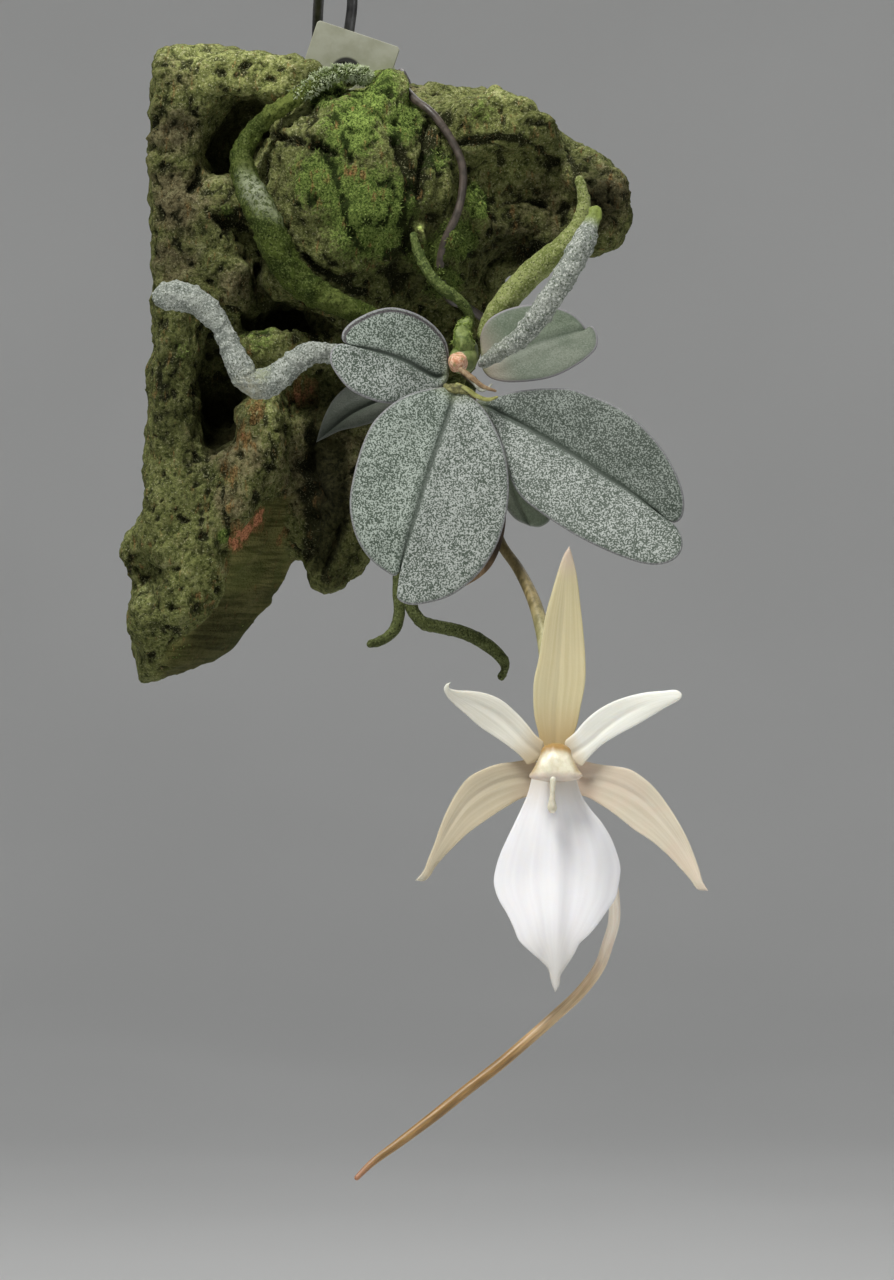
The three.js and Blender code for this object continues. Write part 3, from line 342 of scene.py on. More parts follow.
def within(seen, outline, soft):
    """1 well inside an outline drawn in the photograph and 0 well outside it, changing over soft pixels."""
    border = away_from(seen, [*outline, outline[0]])
    inside = np.zeros(len(seen), bool)
    for (ax, ay), (bx, by) in zip(outline, [*outline[1:], outline[0]]):
        level = (ay > seen[:, 1]) != (by > seen[:, 1])
        crossing = (bx - ax) * (seen[:, 1] - ay) / ((by - ay) or 1) + ax
        inside ^= level & (seen[:, 0] < crossing)
    return smoothstep(np.where(inside, border, -border), -soft, soft)


# Node materials


class Finish:
    """A node material as it is put together. Sockets given as values become links."""

    def __init__(self, name, **shader):
        self.material = bpy.data.materials.new(name)
        self.material.use_nodes = True
        self.tree = self.material.node_tree
        self.shader = self.tree.nodes["Principled BSDF"]
        for key, value in shader.items():
            self.shader.inputs[key.replace("_", " ")].default_value = value
        self.object = self.node("TexCoord").outputs["Object"]

    def node(self, kind, inputs=None, **settings):
        made = self.tree.nodes.new("ShaderNode" + kind)
        for key, value in settings.items():
            setattr(made, key, value)
        for key, value in (inputs or {}).items():
            if isinstance(value, bpy.types.NodeSocket):
                self.tree.links.new(value, made.inputs[key])
            else:
                made.inputs[key].default_value = value
        return made

    def grain(self, size, detail=2.0, roughness=0.55, stretch=(1, 1, 1)):
        """Noise from 0 to 1 whose lumps are about size millimetres across."""
        where = self.object
        if stretch != (1, 1, 1):
            where = self.node("Mapping", {"Vector": where, "Scale": stretch}).outputs[0]
        inputs = {"Vector": where, "Scale": 1 / (size * MM), "Detail": detail, "Roughness": roughness}
        return self.node("TexNoise", inputs).outputs["Fac"]

    def streaks(self, place, stretch, scale, detail):
        """Noise drawn out along a piece."""
        where = self.node("Mapping", {"Vector": place, "Scale": stretch}).outputs[0]
        return self.node("TexNoise", {"Vector": where, "Scale": scale, "Detail": detail}).outputs["Fac"]

    def attribute(self, name):
        """The three numbers kept at each vertex, together and one by one."""
        made = self.node("Attribute", attribute_name=name)
        parts = self.node("SeparateXYZ", {0: made.outputs["Vector"]}).outputs
        return made.outputs["Vector"], parts[0], parts[1], parts[2]

    def ramp(self, fac, low, high, a=0.0, b=1.0):
        """fac from low to high as a to b, smooth at both ends."""
        inputs = {"Value": fac, "From Min": low, "From Max": high, "To Min": a, "To Max": b}
        return self.node("MapRange", inputs, interpolation_type="SMOOTHSTEP").outputs[0]

    def sum(self, how, a, b=0.0, c=0.0):
        return self.node("Math", {0: a, 1: b, 2: c}, operation=how).outputs[0]

    def mix(self, fac, a, b, how="MIX"):
        inputs = {"Factor": fac, "A": a, "B": b}
        made = self.node("Mix", data_type="RGBA", blend_type=how)
        for key, value in inputs.items():
            socket = next(s for s in made.inputs if s.name == key and (key == "Factor" or s.type == "RGBA"))
            if isinstance(value, bpy.types.NodeSocket):
                self.tree.links.new(value, socket)
            else:
                socket.default_value = (*value, 1) if isinstance(value, tuple) else value
        return next(s for s in made.outputs if s.type == "RGBA")

    def fade(self, fac, low, high, a, b, most=1.0):
        """a as fac is at low, turning into b up to the share given by most as it comes to high."""
        return self.mix(self.ramp(fac, low, high, 0.0, most), a, b)

    def swing(self, value, times):
        """A value from 0 to 1 as one around 0, so many times as strong."""
        return self.sum("MULTIPLY", self.sum("SUBTRACT", value, 0.5), times)

    def spot(self, centre, inner, outer):
        """1 within inner millimetres of a point, fading to 0 at outer."""
        where = tuple(float(c) * MM for c in centre)
        far = self.node("VectorMath", {0: self.object, 1: where}, operation="DISTANCE").outputs["Value"]
        return self.ramp(far, inner * MM, outer * MM, 1.0, 0.0)

    def colour(self, socket):
        self.tone = socket
        self.tree.links.new(socket, self.shader.inputs["Base Color"])

    def roughness(self, socket):
        self.tree.links.new(socket, self.shader.inputs["Roughness"])

    def bump(self, height, depth, strength=1.0):
        """Relief of the given depth in millimetres, on top of any that is there already."""
        inputs = {"Height": height, "Distance": depth * MM, "Strength": strength}
        old = self.shader.inputs["Normal"]
        if old.is_linked:
            inputs["Normal"] = old.links[0].from_socket
        made = self.node("Bump", inputs).outputs[0]
        self.tree.links.new(made, old)


# Bark

BARK_VOXEL = 0.55 * MM
SAWN_NORMAL = (0.774, -0.434, -0.459)
SPOT_FALL = 1.2  # how fast a round spot fades away from its middle
SIGHT = 14.0  # how far away, in millimetres, bark still shades a hollow
RAYS = 20
RAY_START = 0.25  # how far off the bark, in millimetres, a line of sight starts
RAY_LEAN = 1.02  # just over 1, so that every line of sight leads away from the bark
COARSE = 0.10  # share of the bark's triangles that is kept to find its hollows

# The furrows and cracks of the bark: where they run in the photograph, half width in pixels and depth
# in millimetres
FURROWS = {
    "under_upper_root": ([(262, 134), (285, 138), (302, 143), (320, 147), (334, 153)], 4, 1.5),
    "knob_left_crack": (
        [(322, 150), (332, 166), (339, 186), (343, 205), (346, 222), (353, 236), (360, 249)], 3.5, 1.3,
    ),
    "knob_middle_crack": ([(336, 116), (342, 134), (345, 148), (351, 160)], 3, 1.0),
    "knob_top_crack": ([(312, 104), (322, 95), (336, 92), (350, 98), (368, 110), (384, 118)], 3, 0.8),
    "gully": ([(396, 140), (402, 158), (408, 178), (409, 198), (406, 216), (412, 230), (410, 250)], 7, 2.2),
    "gully_branch": ([(427, 122), (429, 142), (423, 162), (418, 188), (419, 214)], 4.5, 1.6),
    "knob_low_crack": ([(304, 258), (318, 270), (336, 277), (352, 290), (366, 296)], 4, 1.2),
    "knob_foot_hole": ([(392, 256), (396, 272), (398, 284)], 8, 1.8),
    "shoulder_crack": ([(473, 190), (490, 200), (493, 214)], 3, 0.8),
    "shoulder_edge": ([(462, 141), (482, 139), (502, 137), (522, 141), (540, 152), (556, 160)], 4, 1.1),
    "right_crack": ([(520, 150), (533, 160), (548, 168)], 3, 0.7),
    "right_ledge_shade": ([(520, 198), (535, 201), (546, 206)], 3, 1.2),
    "tip_crack": ([(568, 150), (574, 166), (580, 184), (584, 208)], 3.5, 1.0),
    "cave": ([(520, 262), (536, 250), (545, 244)], 7, 2.0),
    "lump_star": ([(190, 191), (197, 181), (205, 190)], 2.5, 0.9),
    "lump_star_stem": ([(197, 181), (198, 168)], 2.2, 0.7),
    "lump_low_crack": ([(214, 218), (228, 224), (240, 228)], 4, 1.1),
    "left_crack": ([(172, 236), (182, 250), (190, 262)], 2.5, 0.6),
    "trunk_crack": ([(310, 430), (309, 470), (306, 520), (304, 560)], 4.5, 1.8),
    "lobe_crack": ([(262, 404), (268, 430), (276, 452), (270, 474)], 2.5, 0.7),
    "lobe_seam": ([(224, 468), (222, 500), (226, 520), (232, 542)], 3, 0.7),
    "lobe_two_fold": ([(340, 528), (330, 556), (322, 578)], 3.5, 1.0),
}
# Hollows and shaded faces: outline in the photograph, softness of its edge in pixels, depth and
# darkness of the painted shade laid on them. A negative depth stands out.
HOLLOWS = {
    "top_hollow": (
        [(222, 95), (262, 103), (288, 110), (262, 124), (248, 140), (243, 160), (240, 190), (226, 178),
         (198, 162), (206, 132)], 9, 1.0, 0.3,
    ),
    "lower_hollow": (
        [(206, 340), (218, 350), (234, 380), (252, 398), (238, 416), (228, 440), (218, 450), (204, 441),
         (201, 410), (203, 375)], 10, 0.5, 0.4,
    ),
    "hollow_floor": ([(208, 398), (240, 402), (240, 425), (226, 448), (208, 446)], 8, 1.0, 0.8),
    "crevice": (
        [(243, 314), (262, 319), (280, 315), (300, 311), (322, 317), (342, 330), (320, 335), (290, 330),
         (262, 333), (246, 327)], 4, 2.0, 0.85,
    ),
    "pit": (
        [(146, 566), (156, 565), (163, 575), (167, 588), (162, 600), (152, 593), (146, 580)], 8, -0.6, 0.5,
    ),
    "recess": (
        [(458, 143), (480, 140), (505, 137), (530, 142), (552, 157), (562, 176), (574, 192), (578, 214),
         (556, 226), (538, 234), (520, 262), (500, 292), (470, 292), (463, 250), (457, 215), (458, 180)],
        5, 0.5, 0.12,
    ),
    "recess_foot": ([(462, 262), (500, 240), (540, 232), (524, 262), (500, 292), (470, 294)], 9, 1.0, 0.55),
    "tip_face": (
        [(572, 148), (590, 158), (604, 172), (617, 190), (623, 206), (618, 224), (600, 230), (588, 218),
         (581, 190), (576, 168)], 4, 0.8, 0.62,
    ),
    "trunk": (
        [(306, 448), (318, 430), (346, 440), (354, 470), (352, 520), (345, 544), (335, 562), (322, 578),
         (308, 575), (303, 560), (306, 530), (308, 490)], 5, 1.2, 0.93,
    ),
    "trunk_top": ([(318, 372), (352, 384), (352, 440), (316, 440), (304, 420), (296, 398)], 8, 0.4, 0.75),
    "small_lobe": ([(325, 560), (345, 540), (362, 545), (360, 575), (340, 596), (320, 590)], 6, 0.0, 0.5),
    "gully_floor": (
        [(402, 215), (432, 205), (452, 214), (455, 262), (440, 300), (400, 300), (385, 280), (398, 250)],
        8, 0.6, 0.45,
    ),
}
# The face at the foot that was sawn flat, and the lower part of it that is painted darker, as outlines in the
# photograph
SAWN = [
    (157, 672), (160, 655), (200, 622), (216, 604), (224, 588), (231, 560), (240, 530), (262, 504),
    (300, 492), (314, 500), (312, 560), (298, 604), (264, 644), (227, 676), (188, 694),
]
SAWN_FOOT = [
    (157, 672), (200, 624), (222, 594), (262, 588), (300, 590), (270, 630), (230, 680), (180, 694),
]
# Bark that stands out: where, half width in pixels and height in millimetres
SWELLINGS = {
    "tie_crest": ([(382, 95), (390, 96), (398, 100)], 10, 4.0),
    "rib_left": ([(420, 236), (424, 262), (426, 284)], 7, 1.3),
    "rib_bud": ([(444, 164), (446, 180), (444, 196)], 6, 1.2),
    "rib_right": ([(436, 120), (434, 146), (430, 168), (428, 196)], 4, 1.0),
    "tuft_bump": ([(474, 184), (472, 200), (468, 216)], 9, 1.3),
    "shoulder_rib": ([(464, 236), (466, 262), (466, 284)], 6, 0.9),
    "right_rib": ([(546, 216), (552, 190), (550, 168)], 4, 0.9),
    "right_ledge": ([(526, 190), (538, 194), (550, 200)], 3, 0.9),
    "cave_lip": ([(500, 252), (516, 246), (528, 250)], 5, 0.8),
    "lump_shelf": ([(196, 176), (215, 200), (232, 214)], 8, 0.6),
    "lump_belly": ([(236, 250), (244, 280), (250, 300)], 16, 0.9),
    "ledge_roll": ([(228, 334), (256, 340), (290, 336), (318, 332)], 7, 0.9),
    "foot_ridge": ([(206, 524), (212, 556), (206, 590), (186, 616)], 8, 0.8),
}
# Bark that comes forward over the lower run of the tie: where, half width in pixels, how far in millimetres
OVER_TIE = ([(461, 212), (455, 230), (448, 248), (442, 266), (440, 284)], 10, 2.6)
# Round patches of moss, of bare bark and of rusty bark: centre in the photograph, radius in pixels, strength
MOSSY = {
    "shoulder_tuft": ((476, 202), 17, 1.7),
    "shoulder_lower": ((458, 240), 22, 1.1),
    "crown_left": ((325, 92), 22, 1.0),
    "crown_middle": ((368, 104), 26, 1.0),
    "crown_right": ((405, 122), 26, 0.8),
    "knob_upper": ((350, 130), 36, 0.85),
    "knob_rib": ((428, 256), 20, 1.1),
    "knob_rib_low": ((442, 284), 20, 1.1),
    "knob_middle": ((372, 215), 56, 0.95),
    "knob_left": ((325, 180), 38, 0.85),
    "ribs": ((436, 160), 20, 0.6),
    "lump_moss": ((226, 212), 14, 0.5),
    "foot_moss": ((224, 536), 8, 1.0),
    "foot_low": ((182, 652), 18, 0.6),
    "foot_face": ((230, 640), 26, 0.45),
    "plank_moss": ((182, 352), 18, 0.4),
    "ledge_moss": ((262, 336), 22, 0.5),
    "right_rim": ((480, 112), 26, 0.4),
}
BARE = {
    "plank_top": ((176, 76), 22, 0.6),
    "plank_upper": ((172, 130), 34, 0.8),
    "plank_middle": ((176, 200), 40, 1.0),
    "plank_lower": ((172, 258), 30, 0.8),
    "lump": ((236, 285), 26, 0.7),
    "lobe_top": ((240, 452), 34, 0.9),
    "lobe_left": ((232, 500), 24, 0.8),
    "right_face": ((540, 210), 50, 0.5),
    "right_tip": ((604, 200), 34, 0.9),
    "rim_tie": ((410, 92), 12, 0.8),
    "trunk": ((325, 470), 60, 0.9),
}
KNOB = ((355, 190), 90)  # its middle and radius in the photograph, in pixels
RUST = {
    "knob_spot": ((350, 172), 5, 0.9),
    "foot_patch": ((243, 534), 10, 1.25),
    "foot_patch_low": ((235, 545), 8, 1.1),
    "foot_patch_middle": ((249, 528), 8, 1.2),
    "foot_streak": ((256, 520), 9, 1.25),
    "foot_streak_top": ((262, 512), 6, 1.1),
    "foot_flush": ((280, 536), 14, 0.35),
    "lobe_streak": ((240, 436), 14, 0.62),
    "lobe_streak_top": ((254, 410), 13, 0.6),
    "lobe_streak_low": ((231, 474), 12, 0.62),
    "lobe_streak_foot": ((229, 504), 9, 0.55),
    "foot_edge": ((222, 570), 12, 0.35),
    "foot_edge_low": ((205, 600), 12, 0.35),
    "trunk_patch": ((304, 392), 15, 0.85),
    "trunk_edge": ((312, 500), 10, 0.4),
    "tip_patch": ((612, 184), 10, 0.4),
}
# Painted light and shade: places painted lighter where the bark catches the light and darker where it lies
# in shade, with a brighter moss tuft and a few pale dots: where, how wide in pixels, and how many times
# lighter
LIGHT_AND_SHADE = {
    "rim_left": ((200, 60), 40, 2.0),
    "rim_middle": ((265, 80), 32, 2.6),
    "rim_right": ((500, 112), 50, 1.7),
    "below_rim": ((178, 118), 26, 0.7),
    "knob": ((356, 200), 66, 1.05),
    "knob_crown": ((375, 108), 36, 1.9),
    "knob_band": ((336, 128), 20, 1.35),
    "plank": ((172, 240), 60, 0.68),
    "plank_low": ((176, 400), 62, 0.6),
    "ledge": ((268, 340), 34, 1.7),
    "lobe": ((262, 440), 32, 2.4),
    "recess": ((510, 180), 34, 1.6),
    "recess_low": ((510, 232), 32, 0.52),
    "tip": ((606, 196), 26, 0.47),
    "trunk": ((325, 490), 40, 0.52),
    "small_lobe": ((340, 575), 20, 0.75),
    "foot_shade": ((205, 640), 26, 0.6),
    "foot_light": ((196, 570), 30, 1.7),
    "foot_low_light": ((176, 640), 18, 1.3),
    "tuft": ((476, 202), 16, 2.6),
    "white_dot": ((422, 228), 3.5, 14),
    "white_dot_tie": ((465, 172), 2.2, 6),
    "white_dot_right": ((578, 177), 3, 8),
    "top_hollow_left": ((222, 150), 22, 1.5),
    "top_hollow": ((248, 134), 28, 2.2),
    "lower_hollow": ((222, 372), 24, 1.9),
}


def round_spot(seen, centre, radius):
    """1 at the middle of a round spot in the photograph, fading softly outwards."""
    far = np.linalg.norm(seen - np.array(centre, float), axis=1) / radius
    return np.exp(-(far**2) * SPOT_FALL)


def on_route(seen, route, half, stray=0.0):
    """1 on a line drawn in the photograph, fading to its sides over about half pixels."""
    return np.exp(-(((away_from(seen, route) + stray) / half) ** 2))


def patches(seen, spots):
    """How strongly each place in the photograph lies in any of the named round spots."""
    total = np.zeros(len(seen))
    for centre, radius, strength in spots.values():
        total = np.maximum(total, strength * round_spot(seen, centre, radius))
    return total


def tones(seen):
    """How many times lighter than the rest each place in the photograph is painted: painted light and shade.
    """
    total = np.ones(len(seen))
    for centre, radius, times in LIGHT_AND_SHADE.values():
        total = total * (1 + (times - 1) * round_spot(seen, centre, radius))
    return total


def openness(points, normals, tree):
    """The share of directions in which each point of a surface sees out, 0 deep in a hollow."""
    ways = np.random.default_rng(SEED).normal(size=(RAYS, 3))
    ways /= np.linalg.norm(ways, axis=1)[:, None]
    seen = np.empty(len(points))
    for i, (p, n) in enumerate(zip(points, normals)):
        start = Vector(p + n * RAY_START)
        hits = [tree.ray_cast(start, Vector(way + n * RAY_LEAN).normalized(), SIGHT)[0] for way in ways]
        seen[i] = hits.count(None) / RAYS
    return seen


def bark_material():
    """Bark skin: algae and bare bark mingled, with moss, rust, sawn wood, painted shade and painted light."""
    f = Finish("bark", Roughness=0.95, Specular_IOR_Level=0.07)
    _, moss, bare, rust = f.attribute("cover")
    _, hollow, relief, sawn = f.attribute("shade_relief_sawn")
    _, damp, sky, lighter = f.attribute("shade_and_light")
    grit = f.grain(0.30, 3, 0.7)
    speck = f.grain(0.75, 3, 0.65)
    lumps = f.grain(2.6, 4, 0.65)
    wide = f.grain(8, 3, 0.6)
    algae = f.fade(speck, 0.32, 0.68, (0.050, 0.060, 0.016), (0.158, 0.170, 0.058))
    tan = f.fade(speck, 0.32, 0.68, (0.072, 0.060, 0.027), (0.200, 0.175, 0.092))
    mingled = f.sum("ADD", f.swing(lumps, 1.6), f.sum("MULTIPLY", bare, 0.85))
    surface = f.fade(f.sum("ADD", mingled, f.sum("SUBTRACT", grit, 0.5)), 0.05, 0.75, algae, tan)
    # Crests are painted paler, a painted highlight, and pits and creases darker, painted shade
    surface = f.fade(relief, 0.05, 0.75, surface, (0.27, 0.27, 0.135), 0.7)
    surface = f.fade(relief, 0.0, -0.55, surface, (0.012, 0.013, 0.005), 0.95)
    surface = f.fade(speck, 0.44, 0.30, surface, (0.022, 0.026, 0.008), 0.7)
    surface = f.fade(grit, 0.44, 0.32, surface, (0.024, 0.026, 0.009), 0.85)
    surface = f.fade(grit, 0.56, 0.68, surface, (0.34, 0.34, 0.19), 0.65)
    # Faces that look up are painted lighter: painted light from above
    surface = f.fade(sky, 0.15, 0.62, surface, f.mix(1.0, surface, (1.5, 1.5, 1.6), "MULTIPLY"))
    ragged = f.swing(speck, 1.3)
    moss_here = f.ramp(f.sum("ADD", moss, ragged), 0.26, 0.58)
    mossy = f.fade(grit, 0.34, 0.66, (0.030, 0.056, 0.009), (0.185, 0.245, 0.060))
    # Moss in pits and creases is painted darker: painted shade
    mossy = f.fade(relief, -0.05, -0.5, mossy, (0.010, 0.017, 0.004), 0.9)
    surface = f.mix(moss_here, surface, mossy)
    # The sawn face shows faint growth lines across the wood
    lines = f.grain(0.9, 3, 0.6, stretch=(0.10, 0.10, 1.5))
    wood = f.fade(lines, 0.38, 0.62, (0.070, 0.070, 0.020), (0.175, 0.165, 0.058))
    wood = f.fade(wide, 0.44, 0.62, wood, (0.075, 0.088, 0.024), 0.6)
    wood = f.fade(grit, 0.42, 0.32, wood, (0.045, 0.046, 0.018), 0.45)
    surface = f.mix(f.sum("MULTIPLY", sawn, 0.9), surface, wood)
    streaked = f.swing(f.grain(1.4, 3, 0.65, stretch=(1.6, 1, 0.45)), 2.6)
    ochre = f.fade(grit, 0.35, 0.65, (0.070, 0.040, 0.014), (0.260, 0.165, 0.062))
    surface = f.fade(f.sum("ADD", rust, streaked), 0.22, 0.6, surface, ochre, 0.85)
    rusty = f.ramp(f.sum("ADD", rust, f.sum("MULTIPLY", streaked, 0.8)), 0.62, 0.95)
    flush = f.fade(grit, 0.35, 0.6, (0.22, 0.085, 0.040), (0.62, 0.27, 0.14))
    surface = f.mix(f.sum("MULTIPLY", rusty, 0.9), surface, flush)
    # Hollows and shaded faces are painted near black with the damp mask, painted shade, and so is the lower
    # sawn face
    shaded_tone = f.fade(speck, 0.35, 0.65, (0.008, 0.009, 0.003), (0.034, 0.034, 0.012))
    surface = f.mix(damp, surface, shaded_tone)
    # Places that see little of the room are painted darker still: painted shade
    surface = f.fade(hollow, 0.50, 0.08, surface, (0.007, 0.007, 0.002), 0.82)
    # The listed places are painted lighter or darker: painted light and shade
    lit = f.node("CombineXYZ", {0: lighter, 1: lighter, 2: lighter}).outputs[0]
    surface = f.mix(1.0, surface, lit, "MULTIPLY")
    f.colour(surface)
    f.bump(speck, 0.55, 0.95)
    f.bump(grit, 0.28, 1.0)
    return f.material


def open_share(mesh, points):
    """How open the surface is at each point, worked out on a coarser copy and carried over."""
    coarse = changed(mesh.copy(), "DECIMATE", ratio=COARSE)
    where = coordinates(coarse)
    faces = [tuple(f.vertices) for f in coarse.polygons]
    tree = BVHTree.FromPolygons([tuple(p) for p in where], faces)
    free = openness(where, outward(coarse), tree)
    finder = KDTree(len(where))
    for i, spot in enumerate(where):
        finder.insert(spot, i)
    finder.balance()
    made = np.empty(len(points))
    for i, spot in enumerate(points):
        near = finder.find_n(spot, 3)
        weight = [1 / (far + 0.2) for _, _, far in near]
        made[i] = sum(w * free[j] for w, (_, j, _) in zip(weight, near)) / sum(weight)
    bpy.data.meshes.remove(coarse)
    return made


def make_bark():
    """The bark, its CAD form made fine and then creased, pitted and roughened."""
    mesh = changed(copy_of("bark"), "REMESH", mode="VOXEL", voxel_size=BARK_VOXEL)
    mesh = changed(mesh, "SMOOTH", factor=0.5, iterations=12)
    p, n = coordinates(mesh), outward(mesh)
    seen = in_photo(p)
    front = smoothstep(-n[:, 1], -0.1, 0.45)
    brow = smoothstep(-n[:, 1], -0.75, -0.1)
    sawn = sawn_share(p, n, seen)
    plain = 1 - 0.93 * sawn
    knob = round_spot(seen, *KNOB) * front
    # Lumps some millimetres across move the surface. The finer relief on it shows in the material too.
    push = (0.95 * rough(p, 7.0, 3, 1.0) + 0.45 * rough(p, 3.1, 2, 5.0)) * plain
    crags = 0.42 * rough(p, 1.9, 3, 2.0)
    clefts = creases(p, 7.5, (1, 1, 0.42), 3.0)
    cleft = -0.95 * np.exp(-(clefts / 0.075) ** 2) * smoothstep(rough(p, 9.0, 1, 6.0), -0.25, 0.25)
    small = creases(p, 3.0, (1, 1, 0.7), 8.0)
    crack = -0.42 * np.exp(-(small / 0.09) ** 2) * smoothstep(rough(p, 4.0, 1, 7.0), -0.1, 0.3)
    pits = -0.75 * smoothstep(rough(p, 1.7, 1, 9.0), 0.34, 0.62)
    grit = 0.20 * rough(p, 0.8, 2, 4.0)
    relief = (crags + cleft * (0.5 + 0.8 * knob) + crack + pits + grit) * plain * (0.55 + 0.45 * front)
    stray = 2.4 * rough(p, 1.6, 2, 12.0)
    fading = smoothstep(rough(p, 3.5, 1, 14.0), -0.7, 0.1)
    for route, half, deep in FURROWS.values():
        here = on_route(seen, route, 0.75 * half, stray) * front * fading
        relief = relief - deep * here
    # damp gathers painted shade: the lower sawn face here, and the hollows and shaded faces by their darkness
    damp = 0.55 * within(seen, SAWN_FOOT, 4) * sawn
    for outline, soft, deep, dark in HOLLOWS.values():
        here = within(seen, outline, soft) * front
        push = push - deep * here
        damp = np.maximum(damp, dark * here)
    for route, half, high in SWELLINGS.values():
        push = push + high * on_route(seen, route, half) * brow
    moss = patches(seen, MOSSY) * front
    push = push + 0.35 * moss
    relief = relief * (1 - 0.35 * moss)
    route, half, high = OVER_TIE
    over_tie = high * on_route(seen, route, half) * brow * smoothstep(-p[:, 1], 2, 5)
    made = p + n * (push + relief)[:, None] + TO_VIEWER * over_tie[:, None]
    made = np.clip(made, *(np.array(corner) / MM for corner in CAD_BOX))
    place_at(mesh, made)
    back = smoothstep(n[:, 1], 0.2, 0.7)
    bare = np.maximum(patches(seen, BARE) * front, 0.75 * back)
    note(mesh, "cover", moss, bare, patches(seen, RUST) * front)
    # Openness and relief give painted shade in hollows and creases; the upward slope and the tones give
    # painted light and shade
    note(mesh, "shade_relief_sawn", open_share(mesh, made), np.clip(relief / 0.9, -1, 1), sawn)
    note(mesh, "shade_and_light", damp, n[:, 2], 1 + (tones(seen) - 1) * front)
    return finish_piece("bark_relief", mesh, bark_material(), "bark", "bark")


def sawn_share(p, n, seen):
    """1 on the flat face where the foot was sawn off, and 0 on the rough bark."""
    flat = smoothstep(n @ np.array(SAWN_NORMAL), 0.50, 0.75)
    return flat * smoothstep(p[:, 2], -100, -108) * (p[:, 0] < 2) * within(seen, SAWN, 3)


# Moss


def sow(name, mesh, chosen, sizes, growth, rng, material, slot, sunk, lean):
    """Moss leaves that stand roughly upright on the chosen vertices of a mesh, as one piece."""
    p, n = coordinates(mesh), outward(mesh)
    spots = []
    for i in chosen:
        size = rng.uniform(*sizes) * growth[i]
        way = Vector(n[i]) + Vector(rng.normal(size=3) * lean)
        turn = way.to_track_quat("Z", "Y").to_matrix().to_4x4()
        turn = turn @ Matrix.Rotation(rng.uniform(0, math.pi), 4, "Z")
        scale = Matrix.Diagonal((size, size, size, 1))
        spots.append(np.array(Matrix.Translation(p[i] - n[i] * sunk) @ turn @ scale))
    spots = np.array(spots)
    template = moss_leaf()
    co = coordinates(template)
    faces = [list(f.vertices) for f in template.polygons]
    points = np.einsum("kij,nj->kni", spots[:, :3, :3], co) + spots[:, None, :3, 3]
    polygons = [[v + k * len(co) for v in f] for k in range(len(spots)) for f in faces]
    made = bpy.data.meshes.new(name)
    made.from_pydata((points.reshape(-1, 3) * MM).tolist(), [], polygons)
    return finish_piece(name, made, material, slot)


def moss_leaf():
    """One leaf of moss: a spindle with a pointed tip, a millimetre long before it is scaled."""
    bm = bmesh.new()
    bmesh.ops.create_cone(bm, cap_ends=True, segments=4, radius1=0.2 * MM, radius2=0.03 * MM, depth=1 * MM)
    bmesh.ops.translate(bm, vec=(0, 0, 0.5 * MM), verts=bm.verts)
    return mesh_of(bm, "moss_leaf")


def moss_material():
    """Fresh moss, with yellower tips and a brighter tuft on the shoulder."""
    f = Finish("moss", Roughness=0.75, Specular_IOR_Level=0.3)
    tone = f.fade(f.grain(1.6, 3), 0.35, 0.65, (0.055, 0.095, 0.012), (0.17, 0.235, 0.050))
    tone = f.fade(f.grain(0.5, 1), 0.50, 0.66, tone, (0.27, 0.31, 0.10), 0.6)
    tone = f.mix(f.spot(from_photo(476, 202, -12), 1.5, 3.6), tone, (0.22, 0.30, 0.065))
    f.colour(tone)
    f.bump(f.grain(0.15, 1), 0.05, 0.6)
    return f.material


def make_moss(mesh):
    """Short moss on the knob's crown, the shoulder and the damp hollows."""
    rng = np.random.default_rng(SEED + 1)
    moss = triples(mesh.attributes["cover"].data, "vector")[:, 0]
    patchy = moss + 0.35 * rough(coordinates(mesh), 2.2, 2, 9.0)
    chosen = np.flatnonzero((patchy > 0.5) & (rng.random(len(moss)) < 0.45 + 0.5 * (moss > 0.8)))
    growth = 0.8 + 0.5 * moss
    return sow(
        "moss_cushions", mesh, chosen, (0.3, 0.62), growth, rng, moss_material(), "bark", sunk=0.12, lean=0.7
    )


# Roots


def root_material(name, low, high, speck, dark, green_tip=None, pale_spots=(), grains=0.32, shine=0.3):
    """Spongy root skin: silvery or green, freckled, with paler or greener stretches."""
    f = Finish(name, Roughness=0.8, Specular_IOR_Level=shine)
    skin = f.fade(f.grain(2.2, 3), 0.36, 0.64, low, high)
    skin = f.fade(f.grain(grains, 2, 0.6), 0.50, 0.62, skin, speck, 0.85)
    skin = f.fade(f.grain(grains * 0.8, 1, 0.5, stretch=(1.1, 0.9, 1)), 0.42, 0.33, skin, dark, 0.9)
    for centre, inner, outer, tone, strength in pale_spots:
        ragged = f.ramp(f.grain(0.6, 3, 0.7), 0.40, 0.56, 0.12, 1.0)
        broken = f.sum("MULTIPLY", f.spot(centre, inner, outer), ragged)
        skin = f.mix(f.sum("MULTIPLY", broken, strength), skin, tone)
    if green_tip is not None:
        skin = f.mix(f.spot(green_tip, 1.6, 3.4), skin, (0.20, 0.25, 0.055))
    f.colour(skin)
    f.bump(f.grain(grains * 1.3, 2, 0.6), 0.22, 0.8)
    f.bump(f.grain(0.14, 1), 0.06, 0.6)
    return f.material


def make_root(node, name, slot, material, warts=0.2, swell=0.12, creases=0.0):
    """A root from its node's form, fattened back to size and given warts and creases."""
    mesh = copy_of(node, 3)
    p, n = coordinates(mesh), outward(mesh)
    bumps = np.maximum(0, rough(p, 0.9, 2, 5.0)) * warts + 0.5 * warts * rough(p, 2.6, 2, 6.0)
    ring = creases * np.minimum(0, rough(p, 1.7, 1, 8.0))
    place_at(mesh, p + n * (swell + bumps + ring)[:, None])
    return finish_piece(name, mesh, material, slot, node)


